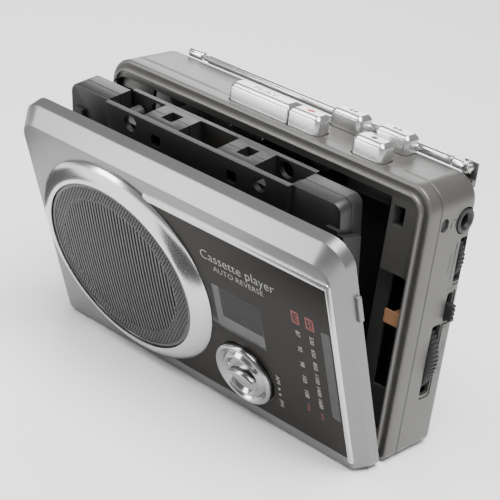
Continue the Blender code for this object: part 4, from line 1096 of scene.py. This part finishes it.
    def grip_outline(self, inset: float) -> Outline:
        """Outline of the knob's grip: two arcs that meet in points, moved in."""
        (x, z), half, lift, steps = self.knob, 4.9, 1.7, 12
        full = (half ** 2 + lift ** 2) / (2 * lift)
        radius = full - inset
        reach = math.asin(max(0.0, half - inset * 1.5) / radius)
        points: Outline = []
        for way, span in ((1, steps), (-1, steps - 1)):
            for t in range(-span, span + 1):
                a = reach * t / steps
                points.append((x + way * radius * math.sin(a), z + way * (radius * math.cos(a) - full + lift)))
        return points

    def band_knob(self) -> None:
        """Turned knob with rings and a lens-shaped grip."""
        rings = ((-0.35, 0.0), (0.9, 0.0), (1.4, 0.12), (1.8, 0.5), (1.9, 0.85), (1.7, 1.25), (1.0, 1.75),
                 (0.75, 2.1), (1.0, 2.5), (1.75, 3.0), (2.05, 3.45), (2.0, 3.85), (1.5, 4.4), (1.0, 4.8),
                 (0.9, 5.4))
        knob = self.turned(self.knob, [(rise, self.knob_r - inset) for rise, inset in rings], 96)
        top = self.front - 2.75
        grip = loft("y", [(top + below, self.grip_outline(inset))
                          for below, inset in ((0.0, 0.75), (0.15, 0.4), (0.55, 0.1), (1.7, 0.0))])
        shaft = disc(*self.knob, 2.1, -8.7, -6.6, 32)
        dress("band_select_knob", knob.join(grip, shaft), KNOB_CHROME, "band_knob", Side.DOOR, ("band_knob",))

    def build(self) -> None:
        """Builds every piece of the door."""
        for make in (self.shell, self.lip, self.ring, self.grille, self.panel_pieces, self.window_ledge,
                     self.prints, self.band_knob):
            make()


# ---- holder and cassette -----------------------------------------------------
@dataclass
class Cassette:
    """Compact cassette and the black holder that it drops into."""

    centre_x: float = -6.6
    centre_y: float = 0.8
    low: float = 3.9
    width: float = 100.4
    height: float = 63.8
    thick: float = 8.7
    head_thick: float = 12.0
    hub_x: float = 21.25
    hub_drop: float = 34.9
    through: Point = (-9.0, 10.0)

    def holder(self) -> None:
        """Holder with its rails, lips and tray."""
        right = block(44.1, 45.9, -4.9, 2.2, 4.9, 61.2)
        front = block(-54.9, 45.9, -4.9, -3.75, 4.2, 7.4)
        tray = [(-4.9, 5.0), (-4.9, 3.9), (-3.0, 3.2), (4.4, 3.2), (4.4, 3.6), (-2.9, 3.6), (-3.7, 3.95),
                (-3.75, 5.0)]
        front.join(
            prism("x", tray, -47.5, 42.0), right,
            block(-54.9, -51.0, -4.9, -3.75, 4.9, 61.2), block(40.0, 45.0, -4.9, -3.75, 4.9, 61.2),
        )
        front.cut(prism("x", [(-6.0, 60.6), (3.0, 57.6), (3.0, 63.0), (-6.0, 63.0)], 43.9, 46.5))
        dress("holder_moulding", front, BLACK_PLASTIC, "holder", Side.HOLDER, ("cassette_holder",), edge=0.12)

    def half(self, name: str, way: int, node: str) -> None:
        """One half of the shell.

        Args:
            name: the piece's name. node: the frame node it stands for.
            way: 1 for the half in front of the parting face, -1 for the one behind it.
        """
        x0, x1, top = self.centre_x - self.width / 2, self.centre_x + self.width / 2, self.low + self.height
        out, mid = self.centre_y - way * self.thick / 2, self.centre_y - way * 0.1
        y_thick = self.centre_y - way * self.head_thick / 2
        steps = ((out, 0.5, 2.5), (out + way * 0.12, 0.15, 2.7), (out + way * 0.45, 0.0, 2.8),
                 (mid - way * 0.12, 0.0, 2.8), (mid, 0.1, 2.7))
        half = loft("y", [(y, rect(x0 + inset, x1 - inset, self.low + inset, top - inset, radius))
                          for y, inset, radius in steps])
        edges = ((y_thick, 0.8), (y_thick + way * 0.12, 0.5), (mid, 0.0))
        half.join(loft("y", [(y, self.edge_shape(inset)) for y, inset in edges]))
        low, high = sorted((out + way * 1.2, mid + way * 1.2))
        half.cut(block(x0 + 2.0, x1 - 2.0, low, high, self.low + 2.0, top - 12.0))
        dress(name, half.cut(*self.openings()), TAPE_PLASTIC, "cassette", Side.HOLDER, (node,), sharp=30)

    def edge_shape(self, inset: float) -> Outline:
        """Outline of the thick edge where the heads enter."""
        top = self.low + self.height
        low, cx = top - 16.0, self.centre_x
        return [(cx - 33.0 + inset, low + inset), (cx + 33.0 - inset, low + inset),
                (cx + 34.6 - inset, top - inset * 0.15), (cx - 34.6 + inset, top - inset * 0.15)]

    def openings(self) -> list[Solid]:
        """Cutters for the hubs, the pin holes and the windows in the thick edge."""
        top, cx, cy = self.low + self.height, self.centre_x, self.centre_y
        hub_z = top - self.hub_drop
        made = []
        for side in (-1, 1):
            made.append(disc(cx + side * self.hub_x, hub_z, 5.2, *self.through, 48))
            made.append(disc(cx + side * 24.1, top - 3.2, 2.4, *self.through, 40))
            x = cx + side * 14.1
            made.append(prism("y", rect(x - 1.7, x + 1.7, top - 6.8, top - 3.4, 0.5, 4), *self.through))
            for a, b, depth, reach in ((20.6, 34.4, 9.0, (-4.3, 4.5)), (12.0, 16.2, 2.5, (-2.0, 2.6))):
                u, v = sorted((cx + side * a, cx + side * b))
                made.append(block(u, v, cy + reach[0], cy + reach[1], top - depth, top + 1.0))
        made.append(block(cx - 7.2, cx + 7.2, cy - 4.3, cy + 4.5, top - 9.0, top + 1.0))
        return made

    def build(self) -> None:
        """Builds the holder, the shell halves and what shows inside them."""
        self.holder()
        self.half("tape_front_shell", 1, "cassette_front_half")
        self.half("tape_rear_shell", -1, "cassette_rear_half")
        top, cx, cy = self.low + self.height, self.centre_x, self.centre_y
        for body, side in (("hub_left", -1), ("hub_right", 1)):
            x, z = cx + side * self.hub_x, top - self.hub_drop
            hub = soft_prism("y", round_shape(x, z, 4.9, 48), cy - 4.05, cy + 4.05, 0.3, 0.3)
            hub.join(disc(x, z, 10.6, cy - 1.9, cy + 1.9)).cut(disc(x, z, 4.3, *self.through, 48))
            hub.join(*[disc(u, v, 0.7, cy - 3.8, cy + 3.8, 12) for u, v in circle(x, z, 4.0, 6)])
            dress("tape_" + body, hub, REEL_CREAM, body, Side.HOLDER, ("cassette_" + body,))
        guides = []
        for side in (-1, 1):
            guides.append(disc(cx + side * 30.5, top - 5.2, 1.9, cy - 3.9, cy + 3.9, 24))
            x = cx + side * 27.5
            guides.append(block(x - 6.4, x + 6.4, cy - 3.9, cy - 0.6, top - 8.8, top - 4.6))
        guides.append(block(cx - 6.9, cx + 6.9, cy - 3.9, cy - 0.8, top - 8.8, top - 4.4))
        dress("tape_guide_posts", gather(guides), BAY_PLASTIC, "cassette", Side.HOLDER, edge=0.1)


# ---- frame nodes that keep their shape ---------------------------------------
def finish_frame_nodes() -> None:
    """Gives every kept frame node its finish."""
    looks = {
        PLAIN_STEEL: ("chassis_plate", "drive_motor", "flywheel_left", "flywheel_right", "battery_spring",
                      "battery_contact", "head_carriage", "button_spring", "hinge_pin_left",
                      "hinge_pin_right", "speaker_frame", "holder_arms"),
        BRIGHT_STEEL: ("tape_head",),
        CASE_GREY: ("battery_cover", "battery_left", "battery_right", "antenna_pin"),
        BRASS_PLAIN: ("motor_pulley", "pressure_pad"),
        RUBBER_BLACK: ("drive_belt", "pinch_roller_left", "pinch_roller_right"),
        REEL_CREAM: ("spindle_left", "spindle_right", "tuning_capacitor"),
        BLACK_PLASTIC: ("microphone",),
        BOARD_GREEN: ("circuit_board",),
        CONE_PAPER: ("speaker_cone",),
        TAPE_BROWN: ("tape_pack",),
    }
    for finish, names in looks.items():
        for name in names:
            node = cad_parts[name]
            node.data.materials.clear()
            node.data.materials.append(finish.material())
            LOG.info("%s finished with %s", name, finish.name)


# ---- studio ------------------------------------------------------------------
@dataclass(frozen=True)
class Camera:
    """Camera that looks down on the player from its front right."""

    place: Vector = Vector((266.6, -321.3, 226.3)) * MM
    back: Vector = Vector((0.5795, -0.7058, 0.4075))
    roll: float = math.radians(8.207)
    lens: float = 118.5696
    sensor: float = 36.0

    def build(self) -> None:
        """Makes the scene's camera."""
        data = bpy.data.cameras.new("studio_camera")
        data.sensor_width = self.sensor
        data.lens = self.lens
        data.clip_start, data.clip_end = 0.01, 20.0
        camera = in_scene("studio_camera", data)
        back = self.back.normalized()
        right = Vector((0.0, 0.0, 1.0)).cross(back).normalized()
        up = back.cross(right)
        turned_right = math.cos(self.roll) * right + math.sin(self.roll) * up
        turned_up = -math.sin(self.roll) * right + math.cos(self.roll) * up
        camera.matrix_world = Matrix.Translation(self.place) @ Matrix(
            (turned_right, turned_up, back)).transposed().to_4x4()
        bpy.context.scene.camera = camera


@dataclass(frozen=True)
class SoftLight:
    """Square soft light that faces the player."""

    name: str
    place: tuple[float, float, float]
    size: float
    power: float

    def build(self) -> None:
        """Makes the light."""
        data = bpy.data.lights.new(self.name, "AREA")
        data.shape = "SQUARE"
        data.size = self.size
        data.energy = self.power
        light = in_scene(self.name, data)
        light.location = self.place
        aim = Vector((0.0, 0.0, 0.04)) - Vector(self.place)
        light.rotation_euler = aim.to_track_quat("-Z", "Y").to_euler()


def reflection_card(name: str, x0: float, x1: float, y0: float, y1: float) -> None:
    """Dark card on the floor that shows only in glossy reflections.

    Args:
        name: its name. x0: left edge in metres. x1: right edge. y0: near edge. y1: far edge.
    """
    mesh = bpy.data.meshes.new(name)
    lift = 0.0002
    corners = [(x, y, lift) for x, y in ((x0, y0), (x1, y0), (x1, y1), (x0, y1))]
    mesh.from_pydata(corners, [], [(0, 1, 2, 3)])
    card = in_scene(name, mesh)
    card.data.materials.append(CARD_BLACK.material())
    card.visible_camera = card.visible_diffuse = card.visible_shadow = card.visible_transmission = False


def build_studio() -> None:
    """Pale floor, soft lights, even sky and the camera."""
    bm = bmesh.new()
    bmesh.ops.create_grid(bm, x_segments=2, y_segments=2, size=3.0)
    mesh = mesh_of("studio_floor", bm)
    mesh.transform(Matrix.Translation((0.0, 0.0, -0.0004)))
    floor = in_scene("studio_floor", mesh)
    floor.data.materials.append(FLOOR_WHITE.material())
    for light in (
        SoftLight("top_light", (0.3, -0.15, 1.0), 0.8, 26.0),
        SoftLight("high_light", (-0.62, -0.45, 0.85), 0.35, 5.0),
        SoftLight("front_light", (-0.75, -1.0, 0.24), 0.42, 8.0),
        SoftLight("back_light", (-0.75, 0.85, 0.55), 0.6, 6.0),
        SoftLight("right_light", (0.95, 0.15, 0.35), 0.3, 0.5),
    ):
        light.build()
    reflection_card("front_card", -0.015, 0.13, -0.22, -0.06)
    reflection_card("left_card", -0.26, -0.12, -0.12, 0.12)
    world = bpy.data.worlds.new("studio_sky")
    world.use_nodes = True
    sky = world.node_tree.nodes["Background"]
    sky.inputs["Color"].default_value = (1.0, 1.0, 1.0, 1.0)
    sky.inputs["Strength"].default_value = 0.3
    bpy.context.scene.world = world
    Camera().build()


def main() -> None:
    """Builds every sub-assembly and the studio."""
    logging.basicConfig(level=logging.INFO, format="%(name)s: %(message)s")
    case = Case()
    for assembly in (case, Keys(case), SideControls(), Antenna(), Door(), Cassette()):
        assembly.build()
        LOG.info("%s done", type(assembly).__name__)
    finish_frame_nodes()
    build_studio()


if __name__ == "__main__":
    main()
